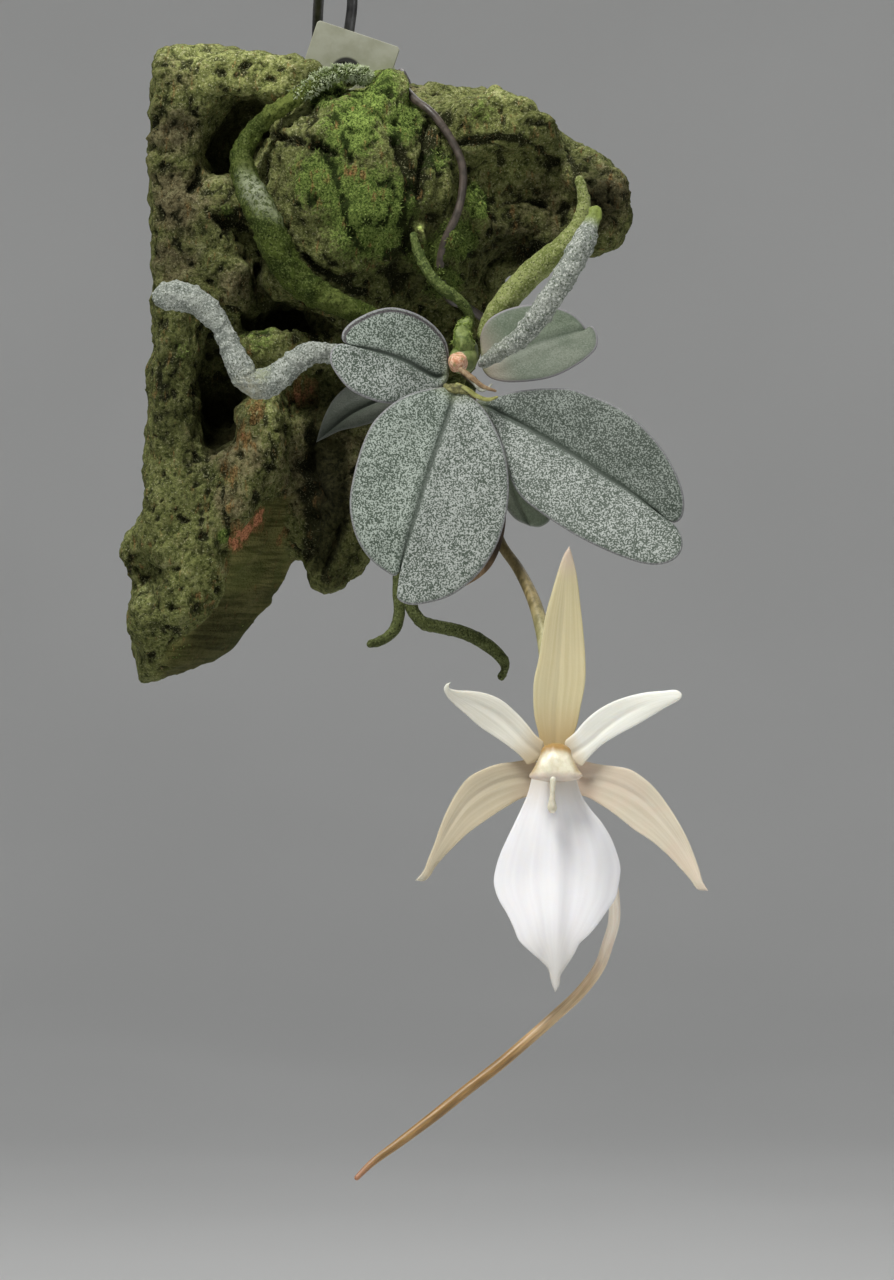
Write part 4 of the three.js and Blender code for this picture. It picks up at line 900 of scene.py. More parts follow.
def tuft(mesh, name, share, sizes, low, high, slot, seed):
    """A ragged coat of fine leaves over the parts of a piece where share is above 0."""
    rng = np.random.default_rng(SEED + seed)
    f = Finish(name, Roughness=0.8, Specular_IOR_Level=0.2)
    f.colour(f.fade(f.grain(1.1, 3), 0.36, 0.62, low, high))
    f.bump(f.grain(0.2, 1), 0.05, 0.6)
    seen, count = in_photo(coordinates(mesh)), len(mesh.vertices)
    chosen = np.flatnonzero((rng.random(count) < share(seen)) & (outward(mesh)[:, 1] < 0.5))
    return sow(name, mesh, chosen, sizes, np.ones(count), rng, f.material, slot, sunk=0.1, lean=0.8)


def make_roots():
    """The roots, each with a skin of its own, and the clump of moss on the upper one."""
    green = ((0.022, 0.034, 0.005), (0.048, 0.066, 0.011))
    silver = ((0.17, 0.19, 0.165), (0.27, 0.29, 0.255))
    knob = root_material(
        "green_root_skin", *green, (0.092, 0.115, 0.032), (0.010, 0.015, 0.002), shine=0.08,
        pale_spots=[
            (from_photo(248, 174, -13.2), 0.1, 3.0, (0.30, 0.34, 0.20), 0.62),
            (from_photo(254, 188, -14.4), 0.1, 3.2, (0.36, 0.39, 0.28), 0.66),
            (from_photo(264, 203, -15.3), 0.1, 3.0, (0.32, 0.35, 0.23), 0.62),
            (from_photo(280, 212, -15.6), 0.1, 2.8, (0.26, 0.29, 0.17), 0.55),
            (from_photo(246, 160, -11.8), 0.4, 2.6, (0.10, 0.12, 0.035), 0.7),
            (from_photo(292, 104, -10), 2.5, 6.0, (0.14, 0.17, 0.04), 0.8),
            (from_photo(335, 300, -15.2), 1.2, 3.6, (0.115, 0.14, 0.035), 0.6),
        ],
    )
    root = make_root("root_over_knob", "green_root_over_knob", "green_root", knob, 0.42, 0.12, 0.5)
    tuft(
        root.data, "pale_moss_clump", lambda seen: smoothstep(seen[:, 0], 285, 330) * (seen[:, 1] < 100),
        (0.3, 0.75), (0.17, 0.23, 0.07), (0.52, 0.58, 0.39), "bark", 2,
    )
    left = root_material(
        "silver_root_skin", *silver, (0.45, 0.475, 0.43), (0.055, 0.068, 0.038), grains=0.30,
        pale_spots=[
            (from_photo(250, 388, -16), 0.5, 3.6, (0.25, 0.23, 0.13), 0.6),
            (from_photo(262, 374, -16), 0.4, 2.6, (0.22, 0.25, 0.12), 0.6),
        ],
    )
    make_root("root_silver_left", "silver_root_left", "silver_root", left, 0.42, 0.08, 0.18)
    right = root_material(
        "silver_root_skin_right", *silver, (0.52, 0.54, 0.49), (0.055, 0.078, 0.036), grains=0.34,
        green_tip=from_photo(597, 215, -22.5),
        pale_spots=[(from_photo(500, 345, -20), 0.5, 4.5, (0.22, 0.24, 0.18), 0.4)],
    )
    make_root("root_silver_right", "silver_root_right", "silver_root", right, 0.36, 0.1, 0.18)
    behind = root_material(
        "yellow_green_root_skin", (0.13, 0.16, 0.036), (0.23, 0.265, 0.085), (0.31, 0.33, 0.15),
        (0.05, 0.062, 0.012),
    )
    make_root("root_green_right", "green_root_right", "green_root", behind, 0.2, 0.14, 0.1)
    moss = root_material(
        "mossy_root_skin", (0.045, 0.07, 0.012), (0.10, 0.135, 0.03), (0.16, 0.2, 0.06), (0.02, 0.03, 0.006)
    )
    make_root("root_mossy_middle", "mossy_root_middle", "green_root", moss, 0.22, 0.1, 0.1)
    hanging = root_material(
        "hanging_root_skin", (0.040, 0.050, 0.014), (0.080, 0.096, 0.030), (0.13, 0.15, 0.060),
        (0.015, 0.018, 0.005), shine=0.15,
    )
    make_root("root_lower_left", "hanging_root_left", "green_root", hanging, 0.12, 0.11, 0.1)
    make_root("root_lower_right", "hanging_root_right", "green_root", hanging, 0.16, 0.19, 0.14)


# Leaves


# Each leaf as it shows from the front: its left or upper edge, its midrib and its other edge
LEAVES = {
    "leaf_front": (
        [(16.9, -103.7), (13.9, -104), (10.4, -105.1), (8, -106.7), (5.9, -108.9), (4.4, -112.1),
         (3.3, -116), (2.7, -119.9), (3.1, -123.3), (4.2, -126.1), (5.9, -128.3), (7.9, -129.8),
         (9, -130.3), (9.7, -129.7)],
        [(17.4, -104.3), (16.2, -108.2), (15.1, -111.4), (14, -114.6), (13, -117.8), (12.1, -121),
         (11.2, -124), (10.4, -126.9), (9.7, -129.7)],
        [(17.8, -103.7), (19.5, -105), (21.4, -106.9), (22.9, -109.5), (24.2, -112.7), (24.8, -116.2),
         (24.8, -119.6), (24.2, -123), (23.2, -125.9), (21.5, -128.9), (19.5, -131.1), (16.7, -133.1),
         (13.9, -134), (11.1, -134.3), (9.4, -133.5), (9.4, -131.7), (9.7, -129.7)],
    ),
    "leaf_right": (
        [(19.5, -105.7), (20.9, -105.3), (22.5, -105), (25.3, -104.3), (28.1, -103.9), (30.9, -103.8),
         (33.8, -104), (36.6, -105), (39.2, -106.1), (41.5, -107.5), (43.6, -109.4), (45.5, -111.6),
         (47.2, -114.1), (48.3, -116.4), (49, -118.5), (49.2, -120.4), (48.9, -122.1), (48, -122.9),
         (46.6, -122.4)],
        [(19.5, -106), (21.8, -106.4), (24.4, -107.7), (27.2, -109.2), (30, -110.9), (32.4, -112.3),
         (35.2, -114.1), (38, -116.1), (40.8, -117.9), (43.6, -120), (46.6, -122.4)],
        [(19.5, -106.4), (20.9, -107), (22, -107.8), (23.1, -109.5), (24.4, -112.9), (25.2, -116.8),
         (26.7, -119.3), (28.8, -121.1), (32.1, -123.4), (34.9, -125.1), (37.7, -126.5), (40.5, -127.7),
         (43.3, -128.6), (45.5, -128.8), (47.3, -128.3), (48.5, -127.2), (48.9, -125.8), (48.6, -124.4),
         (47.8, -123.2), (46.6, -122.4)],
    ),
    "leaf_left": (
        [(16.5, -101), (16.5, -98.7), (16, -96.8), (14.7, -95.1), (12.9, -93.7), (10.8, -92.8),
         (8.5, -92.4), (6.3, -92.8), (4.3, -93.7), (2.6, -94.8), (1.6, -96.1), (1.6, -97.3), (2.6, -98)],
        [(16.5, -101.8), (14.8, -102.1), (13, -101.3), (10.8, -100.1), (8.7, -99.3), (6.5, -98.7),
         (4.6, -98.3), (2.6, -98)],
        [(16.4, -102.7), (15.3, -103.6), (13.1, -104.8), (10.3, -105.8), (7.5, -106), (4.9, -105.3),
         (2.6, -104.1), (0.9, -102.2), (-0.1, -100.3), (0.1, -98.6), (1.2, -97.7), (2.6, -98)],
    ),
    "leaf_upper_right": (
        [(21, -97.9), (21, -95.9), (21.9, -93.9), (23.8, -92.5), (26.6, -91.6), (29.5, -91.3),
         (32.3, -91.9), (34, -92.6), (35.2, -93.6), (36.2, -95)],
        [(21, -99.6), (23.2, -99.2), (25.9, -98.2), (28.8, -97), (31.6, -96.2), (34, -95.5), (36.2, -95)],
        [(21.1, -100.7), (22.4, -102), (24.5, -102.6), (27.3, -102.6), (30.2, -102.2), (32.3, -101.5),
         (34.5, -100.3), (36.3, -99), (37.5, -97.6), (37.7, -96), (37.3, -94.8), (36.6, -94.3),
         (36.2, -95)],
    ),
    "leaf_behind_left": (
        [(13.8, -102.6), (9.5, -101.8), (5.2, -101.8), (2.4, -102.6), (0.2, -104.5), (-1.3, -107.1),
         (-2.5, -110.9)],
        [(13.8, -103.5), (9.5, -104.3), (5.5, -105.6), (2.4, -107.1), (0, -108.9), (-2.5, -110.9)],
        [(13.8, -104.9), (10.2, -106.6), (6.7, -107.9), (3.5, -108.8), (1, -109.3), (-1, -110.2),
         (-2.5, -110.9)],
    ),
    "leaf_behind_below": (
        [(19.5, -103.9), (22.7, -107.9), (24.9, -112.1), (26.9, -116.4), (28.9, -119.3), (30.5, -121),
         (30.9, -122.1), (29.5, -123.1), (28.1, -123)],
        [(19.5, -104.4), (21.5, -108.6), (23.5, -112.8), (25.2, -117.1), (26.6, -120.4), (28.1, -123)],
        [(19.5, -105), (20.1, -109.3), (21.2, -113.6), (22.9, -117.5), (24.6, -120.4), (26.1, -122.1),
         (28.1, -123)],
    ),
}


def leaf_material(
    name, pale, shade, halves=(1.0, 1.0), rib=0.8, rim=0.55, smooth=False, warm=0.0, folded=0.0
):
    """Grey-green leaf skin crowded with fine pale flecks and lavender at the rim, with painted shade in the
    midrib.
    """
    f = Finish(name, Roughness=0.6, Specular_IOR_Level=0.35)
    _, over, along, front = f.attribute("place")
    _, off, edge, _ = f.attribute("reach")

    # shade scales the whole skin: painted shade where a leaf lies in shadow
    def tone(*c):
        return tuple(x * shade for x in c)

    flecks = f.grain(0.22, 1.0, 0.5)
    patchy = f.swing(f.grain(3.8, 3), 0.18)
    second = f.swing(f.grain(0.75, 2), 0.25)
    amount = f.sum("ADD", f.sum("ADD", flecks, f.sum("ADD", patchy, second)), (pale - 0.5) * 0.5)
    if smooth:
        skin = f.fade(f.grain(3.2, 3), 0.3, 0.7, tone(0.145, 0.18, 0.125), tone(0.21, 0.24, 0.18))
        skin = f.fade(amount, 0.52, 0.70, skin, tone(0.32, 0.35, 0.29), 0.35)
        skin = f.fade(amount, 0.46, 0.32, skin, tone(0.07, 0.09, 0.055), 0.35)
    else:
        skin = f.fade(amount, 0.40, 0.62, tone(0.058, 0.078, 0.058), tone(0.385, 0.415, 0.385))
    # One half of the leaf is painted darker or lighter than the other: painted shade and light across the
    # fold
    side = f.ramp(over, -0.04, 0.04)
    dim = f.mix(side, tuple(halves[0] * v for v in (0.97, 1.02, 0.97)), (halves[1],) * 3)
    skin = f.mix(1.0, skin, dim, "MULTIPLY")
    # The sunk midrib and a band beside it are painted dark: painted shade in the groove
    groove = f.ramp(off, 0.16, 0.55, rib, 0.0)
    skin = f.mix(f.sum("MULTIPLY", groove, f.ramp(along, 0.0, 0.08)), skin, (0.030, 0.042, 0.030))
    skin = f.fade(off, 1.6, 0.4, skin, tone(0.10, 0.125, 0.10), 0.3 * rib)
    skin = f.fade(edge, 0.9, 0.3, skin, tone(0.09, 0.11, 0.09), 0.35)
    skin = f.fade(edge, 0.40, 0.08, skin, (0.27, 0.255, 0.28), rim)
    if folded:
        # The far rim is turned up: a dark purple line inside a thin pale one
        turned = f.sum("MULTIPLY", f.ramp(edge, 0.95, 0.5), f.ramp(edge, 0.22, 0.45))
        turned = f.sum("MULTIPLY", turned, f.ramp(over, -0.3, -0.6))
        skin = f.mix(f.sum("MULTIPLY", turned, folded), skin, (0.040, 0.028, 0.036))
    if warm:
        skin = f.fade(along, 0.32, 0.0, skin, (0.27, 0.225, 0.175), warm)
    skin = f.fade(along, 0.10, 0.0, skin, (0.15, 0.175, 0.07), 0.6)
    under = f.fade(f.grain(1.2, 3), 0.35, 0.65, (0.085, 0.10, 0.075), (0.14, 0.14, 0.12))
    skin = f.fade(front, 0.05, -0.25, skin, under)
    f.colour(skin)
    f.bump(flecks, 0.07, 0.7)
    f.bump(f.grain(1.8, 2), 0.22, 0.35)
    return f.material


def leaf(node, name, facing, depths, material, fold, seed, wave=0.3, rib_deep=0.4):
    """A fleshy tongue with its halves folded up along a sunken midrib. depths are the midrib's y."""
    rib_y = profile(depths)
    lean_x, _, lean_z = facing

    def depth(x, z, over, along, off, front, rib):
        plane = rib_y(along) + lean_x * (x - rib[:, 0]) + lean_z * (z - rib[:, 1])
        folded = fold * np.sqrt(off * off + 0.35) - fold * 0.6
        sunk = np.where(front > 0, -rib_deep, -0.7 * rib_deep)
        groove = np.exp(-((off / 0.32) ** 2)) * smoothstep(along, 0.02, 0.12) * sunk
        shoulder = 0.12 * np.exp(-(((off - 1.1) / 0.7) ** 2)) * (front > 0)
        return plane - folded - groove - shoulder - wave * ripple(x, z, 6, seed)

    mesh = blade(LEAVES[node], depth, 0.75, sides=84, steps=90, ends=(0.5, 1.0), midrib=0.22, square=0.6)
    return finish_piece(name, mesh, material, "leaf", node)


def make_leaves():
    """The six leaves, each with a skin and a fold of its own."""
    skin = leaf_material("leaf_skin_front", 0.50, 0.98)
    depths = [(0, -21.4), (0.35, -23.8), (0.7, -25.6), (1, -26.2)]
    leaf("leaf_front", "grey_leaf_front", (0, -1, 0.05), depths, skin, fold=0.13, seed=1.5, rib_deep=0.3)
    skin = leaf_material("leaf_skin_right", 0.44, 0.94, (0.62, 1.05), 0.95)
    depths = [(0, -17.2), (0.3, -20.2), (0.65, -23.8), (1, -27)]
    leaf("leaf_right", "grey_leaf_right", (-0.1, -1, 0.25), depths, skin, fold=0.16, seed=4.1)
    skin = leaf_material("leaf_skin_left", 0.48, 0.98, (0.95, 1.15), 0.95, 0.7, folded=0.9)
    depths = [(0, -16.8), (0.3, -18.3), (0.7, -20.6), (1, -22)]
    leaf("leaf_left", "grey_leaf_left", (0.1, -1, 0.25), depths, skin, fold=0.18, seed=7.7)
    skin = leaf_material("leaf_skin_pale", 0.5, 0.86, (0.9, 0.86), 0.25, 0.8, smooth=True, warm=0.8)
    depths = [(0, -12.6), (0.3, -12.4), (0.65, -11.4), (1, -10.2)]
    leaf(
        "leaf_upper_right", "pale_leaf_upper_right", (0, -1, 0.3), depths, skin, fold=0.2, seed=2.3, wave=0.2,
        rib_deep=0.05,
    )
    skin = leaf_material("leaf_skin_shaded", 0.42, 0.27, (0.7, 1.5), 0.3, 0.08, smooth=True)
    depths = [(0, -9.8), (0.4, -9.8), (1, -8.5)]
    leaf("leaf_behind_left", "shaded_leaf_left", (-0.1, -1, 0.5), depths, skin, fold=0.2, seed=3.3)
    skin = leaf_material("leaf_skin_lavender", 0.5, 0.85, (1.15, 1.15), 0.2, 0.3, smooth=True, warm=0.3)
    depths = [(0, -11.2), (1, -11.3)]
    leaf("leaf_behind_below", "lavender_leaf_below", (0.1, -1, 0.1), depths, skin, fold=0.15, seed=5.9)


# Crown: the stem, the bud, the sheath and the dry bract


def soft_material(name, low, high, size=1.5, roughness=0.55, through=0.0, stretch=(1, 1, 1), relief=0.08):
    """Living tissue: two tones in soft patches, light passing through a little."""
    f = Finish(
        name, Roughness=roughness, Subsurface_Weight=through, Subsurface_Radius=(1.0, 0.6, 0.35),
        Subsurface_Scale=1.2 * MM,
    )
    f.colour(f.fade(f.grain(size, 3, stretch=stretch), 0.34, 0.66, low, high))
    f.bump(f.grain(size * 0.3, 2, stretch=stretch), relief, 0.6)
    return f


def make_crown():
    """The stem, the bud, the sheath with its thin curls, the green shoot and the dry bract."""
    stem = soft_material("stem_skin", (0.11, 0.15, 0.035), (0.22, 0.26, 0.09), 1.2)
    limb_piece(
        "stem_core", stem, "stem", ["stem"],
        [(19, -3.4, -96.9), (18.8, -9, -98.4), (18.4, -15.5, -99.8)],
        [(0, 1.7), (1, 2.1)], lift=lambda x, t, front: 0.12 * np.sin(t * 40), steps=30,
    )
    bud = soft_material("bud_skin", (0.50, 0.22, 0.11), (0.84, 0.56, 0.40), 0.6, 0.55, 0.15, relief=0.2)
    bud.colour(bud.fade(bud.grain(0.7, 2), 0.44, 0.34, bud.tone, (0.30, 0.27, 0.09), 0.75))
    limb_piece(
        "crown_bud_tip", bud, "bud", ["crown_bud"],
        [(18.1, -16.4, -100), (17.7, -19.2, -100.1), (17.8, -21.4, -100.4)],
        [(0, 1.3), (0.5, 1.35), (1, 0.8)], steps=40,
        lift=lambda x, t, front: 0.2 * np.sin(x * 2.3 + 1) * np.sin(t * 7 + 0.5),
    )
    sheath = soft_material(
        "sheath_skin", (0.20, 0.125, 0.060), (0.36, 0.26, 0.15), 0.6, 0.6, 0.05, relief=0.15
    )
    limb_piece(
        "sheath_curl", sheath, "sheath", ["leaf_sheath"],
        [(17.9, -21.5, -101.1), (19.5, -21.7, -102.3), (21.2, -21.4, -103.6), (23.2, -20.8, -104.3)],
        [(0, 0.45), (0.5, 0.42), (1, 0.16)], [(0, 0.3), (1, 0.2)], facing=(0.2, -1, 0.3), steps=30,
    )
    green = soft_material("green_sheath_skin", (0.17, 0.175, 0.040), (0.34, 0.34, 0.115), 0.8, 0.5, 0.1)
    limb_piece(
        "sheath_lower", green, "sheath", [],
        [(17.4, -22.3, -103.3), (18.9, -22.6, -104), (20.4, -22.4, -105.05), (21.9, -22, -105.5),
         (23.4, -21.3, -105.1)],
        [(0, 0.3), (0.4, 0.38), (0.8, 0.3), (1, 0.15)], [(0, 0.2), (1, 0.15)], facing=(0.1, -1, 0.5),
        steps=50,
    )
    khaki = soft_material(
        "khaki_base_skin", (0.075, 0.072, 0.022), (0.235, 0.225, 0.085), 0.5, 0.7, relief=0.3
    )
    limb_piece(
        "crown_base_khaki", khaki, "sheath", [],
        [(15.8, -21.8, -103.4), (16.7, -22.3, -103.9), (18.2, -22.4, -104.1), (19.4, -22, -104.8)],
        [(0, 0.35), (0.4, 0.75), (0.7, 0.7), (1, 0.3)], [(0, 0.25), (0.5, 0.45), (1, 0.25)],
        facing=(0, -1, 0.4), lift=lambda x, t, front: 0.14 * np.sin(x * 6 + 1) * np.sin(t * 17), steps=50,
    )
    brown = soft_material("sheath_edge", (0.055, 0.035, 0.018), (0.12, 0.085, 0.045), 0.8, 0.7)
    limb_piece(
        "sheath_edge_dry", brown, "sheath", [],
        [(18.2, -21.2, -101.6), (19.5, -21.3, -102.8), (20.9, -21.1, -103.9)],
        [(0, 0.25), (0.5, 0.35), (1, 0.18)], [(0, 0.2), (1, 0.15)], facing=(0.2, -1, 0.3), steps=40,
    )
    pale = soft_material("dry_curl", (0.20, 0.21, 0.16), (0.40, 0.40, 0.34), 0.6, 0.7)
    limb_piece(
        "sheath_curl_pale", pale, "sheath", [],
        [(19, -21.6, -102.2), (20.1, -21.7, -103.3), (21, -21.5, -104.2), (21.9, -21.2, -103.9),
         (22.6, -20.8, -103.2)],
        [(0, 0.2), (0.5, 0.26), (1, 0.14)], [(0, 0.12), (1, 0.1)], facing=(0.2, -1, 0.3), steps=40,
    )
    skin = soft_material(
        "shoot_skin", (0.085, 0.125, 0.022), (0.215, 0.27, 0.075), 0.7, 0.6, 0.05, relief=0.25
    )
    shoot = limb_piece(
        "crown_shoot", skin, "stem", [],
        [(18.5, -12.5, -99.3), (18.6, -14.0, -97.6), (18.4, -13.2, -95.6), (19.3, -11.2, -93.6)],
        [(0, 1.2), (0.4, 1.35), (0.75, 0.95), (1, 0.6)],
        lift=lambda x, t, front: 0.3 * np.sin(x * 3.1 + t * 7) * np.sin(t * 14),
    )
    tuft(
        shoot.data, "shoot_moss", lambda seen: np.full(len(seen), 0.3), (0.35, 0.7),
        (0.10, 0.155, 0.02), (0.26, 0.33, 0.09), "stem", 3,
    )
    dry = soft_material(
        "dry_bract_skin", (0.15, 0.095, 0.045), (0.33, 0.22, 0.12), 0.8, 0.8, stretch=(1, 1, 0.35), relief=0.2
    )
    _, _, along, _ = dry.attribute("place")
    dark = dry.mix(1.0, dry.tone, (0.18, 0.16, 0.15), "MULTIPLY")
    dry.colour(dry.fade(along, 0.62, 0.85, dark, dry.tone))
    limb_piece(
        "dry_bract_husk", dry, "dry_bract", ["dry_bract"],
        [(21.6, -15.9, -113), (22.2, -18, -119.5), (20.8, -20.6, -126.8), (17.4, -22.4, -131.6)],
        [(0, 0.9), (0.4, 2.6), (0.75, 2.4), (1, 0.9)], [(0, 0.36), (1, 0.36)], facing=(0.1, -1, 0.1),
        lift=lambda x, t, front: -0.12 * x * x + 0.15 * np.sin(x * 3.1 + 5 * t), steps=50,
    )


# Flower: its parts meet round the column at FLOWER and face the viewer

FLOWER = np.array((30.9, -40.0, -156.2))
PETAL_THICK = 0.42  # half thickness of the flower's parts, in millimetres
# The sepals, petals and lip in the same way
FLORAL = {
    "sepal_top": (
        [(29.1, -154.5), (28.7, -151.9), (28.2, -149.8), (28, -147.4), (28.1, -144.7), (28.7, -141.9),
         (29.2, -138.9), (29.7, -135.7), (30.6, -132.4), (31.4, -129.7), (32.1, -127.7), (32.9, -126.4)],
        [(31, -154.5), (31.1, -148.7), (31.5, -144.7), (31.8, -139.9), (32.2, -134.4), (32.5, -129.9),
         (32.9, -126.4)],
        [(33, -154.5), (33.4, -152.6), (34, -150.7), (34.5, -148.2), (35.1, -144.9), (35.1, -141.2),
         (34.8, -137.6), (34.4, -134), (34, -130.7), (33.4, -128), (32.9, -126.4)],
    ),
    "petal_left": (
        [(27.5, -156.5), (25.9, -154.7), (24.5, -153.6), (22.8, -152.4), (20.7, -151), (18.8, -149.3),
         (17.2, -147.9), (16.2, -146.8), (15.8, -145.9), (16.1, -145.2), (16.8, -144.9)],
        [(29.3, -155.1), (27, -153.2), (25.1, -151.3), (22.8, -149.4), (20.2, -147.9), (17.7, -146.7),
         (16.5, -145.9), (16.4, -145.3), (16.8, -144.9)],
        [(29.7, -153.3), (28.3, -152.1), (27.1, -150.6), (25.6, -149), (23.7, -147.4), (21.7, -146.5),
         (19.4, -146.1), (17.5, -146), (16.6, -145.7), (16.5, -145.3), (16.8, -144.9)],
    ),
    "petal_right": (
        [(31.9, -153.2), (33.6, -151.8), (35, -150.2), (36.8, -148.7), (38.8, -147.6), (41.1, -146.8),
         (43.4, -146.3), (45.6, -146.1), (47.4, -146), (48.1, -146.5), (48.1, -147)],
        [(32.7, -155.1), (35.7, -153.1), (37.9, -151.2), (40.3, -149.5), (42.9, -148.2), (45.5, -147.4),
         (48.1, -147)],
        [(34.3, -156.7), (36, -154.7), (37.3, -153.5), (39.5, -152.1), (41.9, -150.8), (44.1, -149.5),
         (46.2, -148.2), (47.5, -147.5), (48.1, -147)],
    ),
    "sepal_left": (
        [(28.4, -155.3), (25.4, -155.8), (23.2, -156.1), (21.2, -156.8), (19.2, -157.9), (17.7, -159.7),
         (16.5, -161.8), (15.4, -164.3), (14.5, -166.9), (13.6, -169.1), (13.1, -170.4), (12.4, -171.3),
         (11.9, -171.8)],
        [(29.9, -157.9), (25.9, -158), (23.5, -158.6), (21, -159.8), (18.8, -161.6), (17.2, -163.8),
         (15.8, -166.2), (14.6, -168.5), (13.8, -170.2), (13.1, -171.4), (11.9, -171.8)],
        [(28.9, -160.2), (26.2, -160.9), (24.6, -161.8), (22.8, -162.9), (20.9, -164.2), (19.1, -165.5),
         (17.5, -167), (16, -168.5), (14.7, -170), (13.9, -171.3), (13.1, -171.9), (11.9, -171.8)],
    ),
    "sepal_right": (
        [(33.7, -155.3), (36.7, -156.1), (39, -156.4), (41.1, -156.8), (42.8, -157.8), (44.5, -159.3),
         (46, -161.2), (47.5, -163.5), (48.8, -165.9), (49.8, -168.3), (50.5, -170.4), (51, -172.1),
         (51.7, -173.2)],
        [(32.2, -157.9), (36.3, -158.2), (38.7, -158.8), (40.9, -159.8), (43, -161.2), (44.9, -163.1),
         (46.7, -165.3), (48.2, -167.6), (49.4, -169.9), (50.3, -171.8), (51.7, -173.2)],
        [(33, -160.2), (35.2, -160.6), (37.1, -161.6), (39.3, -163.1), (41.7, -165), (44.1, -166.6),
         (46.3, -168.5), (48, -170.3), (49.3, -171.8), (50.2, -173), (51.7, -173.2)],
    ),
    "lip": (
        [(27.9, -157.3), (27.2, -160.1), (26.4, -162), (25.5, -163.9), (24.4, -166.2), (23.4, -168.5),
         (22.8, -170.6), (22.6, -172.3), (23.2, -174.4), (24.3, -176.3), (25.2, -178.1), (26, -180),
         (27.5, -181.5), (29, -182.8), (30, -184), (30.4, -185.7), (30.9, -187)],
        [(30.8, -157.1), (30.8, -163.7), (30.8, -169.1), (30.8, -174.5), (30.8, -180), (30.9, -184),
         (30.9, -187)],
        [(33.6, -157.3), (34.6, -160.4), (35.8, -162.2), (37.2, -163.9), (38.4, -165.8), (39.3, -167.9),
         (39.9, -170.2), (39.7, -172.3), (39.2, -174.4), (38.1, -176), (36.8, -177.8), (35.5, -179.3),
         (34.3, -180.4), (33.5, -181.9), (32.4, -183.6), (31.7, -184.7), (31.5, -186.1), (30.9, -187)],
    ),
}


def petal_material(name, tones, base, tip, veins, base_end, tip_start=0.9, through=0.35, flush=0.0):
    """Waxy petal skin with faint lengthwise veins, its base and tip of other tones."""
    f = Finish(
        name, Roughness=0.42, Specular_IOR_Level=0.3, Subsurface_Weight=through,
        Subsurface_Radius=(1.0, 0.8, 0.6), Subsurface_Scale=1.4 * MM,
    )
    place, _, along, _ = f.attribute("place")
    vein = f.streaks(place, (veins, 1.6, 0.2), 1.0, 1.0)
    tone = f.fade(vein, 0.2, 0.8, *tones)
    tone = f.fade(f.grain(0.5, 2), 0.45, 0.75, tone, tones[1], 0.15)
    tone = f.fade(along, base_end, 0.0, tone, base, 0.95)
    tone = f.fade(along, tip_start, 1.0, tone, tip, 0.85)
    if flush:
        tone = f.fade(f.grain(3.5, 2), 0.42, 0.6, tone, base, flush)
    f.colour(tone)
    f.bump(vein, 0.03, 0.5)
    f.bump(f.grain(0.25, 1), 0.02, 0.5)
    return f.material


def floral(node, name, depths, material, curl=0.05, wave=0.25, seed=0.0):
    """A sepal or petal, its sides curling forward and its middle sunk along the midrib."""
    rib_y = profile(depths)

    def depth(x, z, over, along, off, front, rib):
        sunk = 0.16 * np.exp(-((off / 0.4) ** 2)) * smoothstep(along, 0.95, 0.5)
        soft = wave * ripple(x, z, 5, seed) * np.abs(over)
        return rib_y(along) - curl * off * off + sunk - soft

    mesh = blade(FLORAL[node], depth, PETAL_THICK)
    return finish_piece(name, mesh, material, node.split("_")[0], node)


def make_flower():
    """The sepals and petals, and then the lip, column, spur and stalk."""
    skin = petal_material(
        "sepal_skin", ((0.54, 0.48, 0.285), (0.63, 0.57, 0.37)), (0.48, 0.36, 0.18), (0.62, 0.50, 0.43),
        veins=8, base_end=0.3, tip_start=0.8,
    )
    depths = [(0, -38.4), (0.2, -38), (0.5, -37.9), (0.8, -38.6), (1, -39.4)]
    floral("sepal_top", "sepal_top_cream", depths, skin, wave=0.1)
    # The left petal is painted darker than the right one: painted shade
    skin = petal_material(
        "petal_skin", ((0.66, 0.645, 0.56), (0.76, 0.745, 0.67)), (0.52, 0.43, 0.28), (0.62, 0.64, 0.52),
        veins=8, base_end=0.3,
    )
    depths = [(0, -40), (0.4, -39.9), (0.7, -40.6), (1, -41.9)]
    floral("petal_left", "petal_left_white", depths, skin, curl=0.06, seed=2.0)
    skin = petal_material(
        "petal_skin_right", ((0.80, 0.80, 0.72), (0.89, 0.885, 0.82)), (0.62, 0.54, 0.40),
        (0.70, 0.69, 0.62), veins=8, base_end=0.16,
    )
    depths = [(0, -40), (0.4, -39.9), (0.7, -40.6), (1, -41.8)]
    floral("petal_right", "petal_right_white", depths, skin, curl=0.06, seed=3.0)
    # The left sepal is painted darker than the right one: painted shade
    skin = petal_material(
        "sepal_skin_left", ((0.46, 0.405, 0.285), (0.56, 0.50, 0.375)), (0.52, 0.42, 0.31),
        (0.40, 0.40, 0.34), veins=7, base_end=0.25,
    )
    depths = [(0, -37.9), (0.4, -38.9), (0.7, -40.2), (1, -42)]
    floral("sepal_left", "sepal_left_cream", depths, skin, seed=4.0)
    skin = petal_material(
        "sepal_skin_right", ((0.56, 0.50, 0.385), (0.66, 0.61, 0.50)), (0.64, 0.52, 0.42),
        (0.55, 0.47, 0.40), veins=7, base_end=0.3, flush=0.35,
    )
    depths = [(0, -37.9), (0.4, -38.9), (0.7, -40.2), (1, -42.4)]
    floral("sepal_right", "sepal_right_cream", depths, skin, seed=5.0)
    make_lip()
    make_column()
    make_spur_and_stalk()


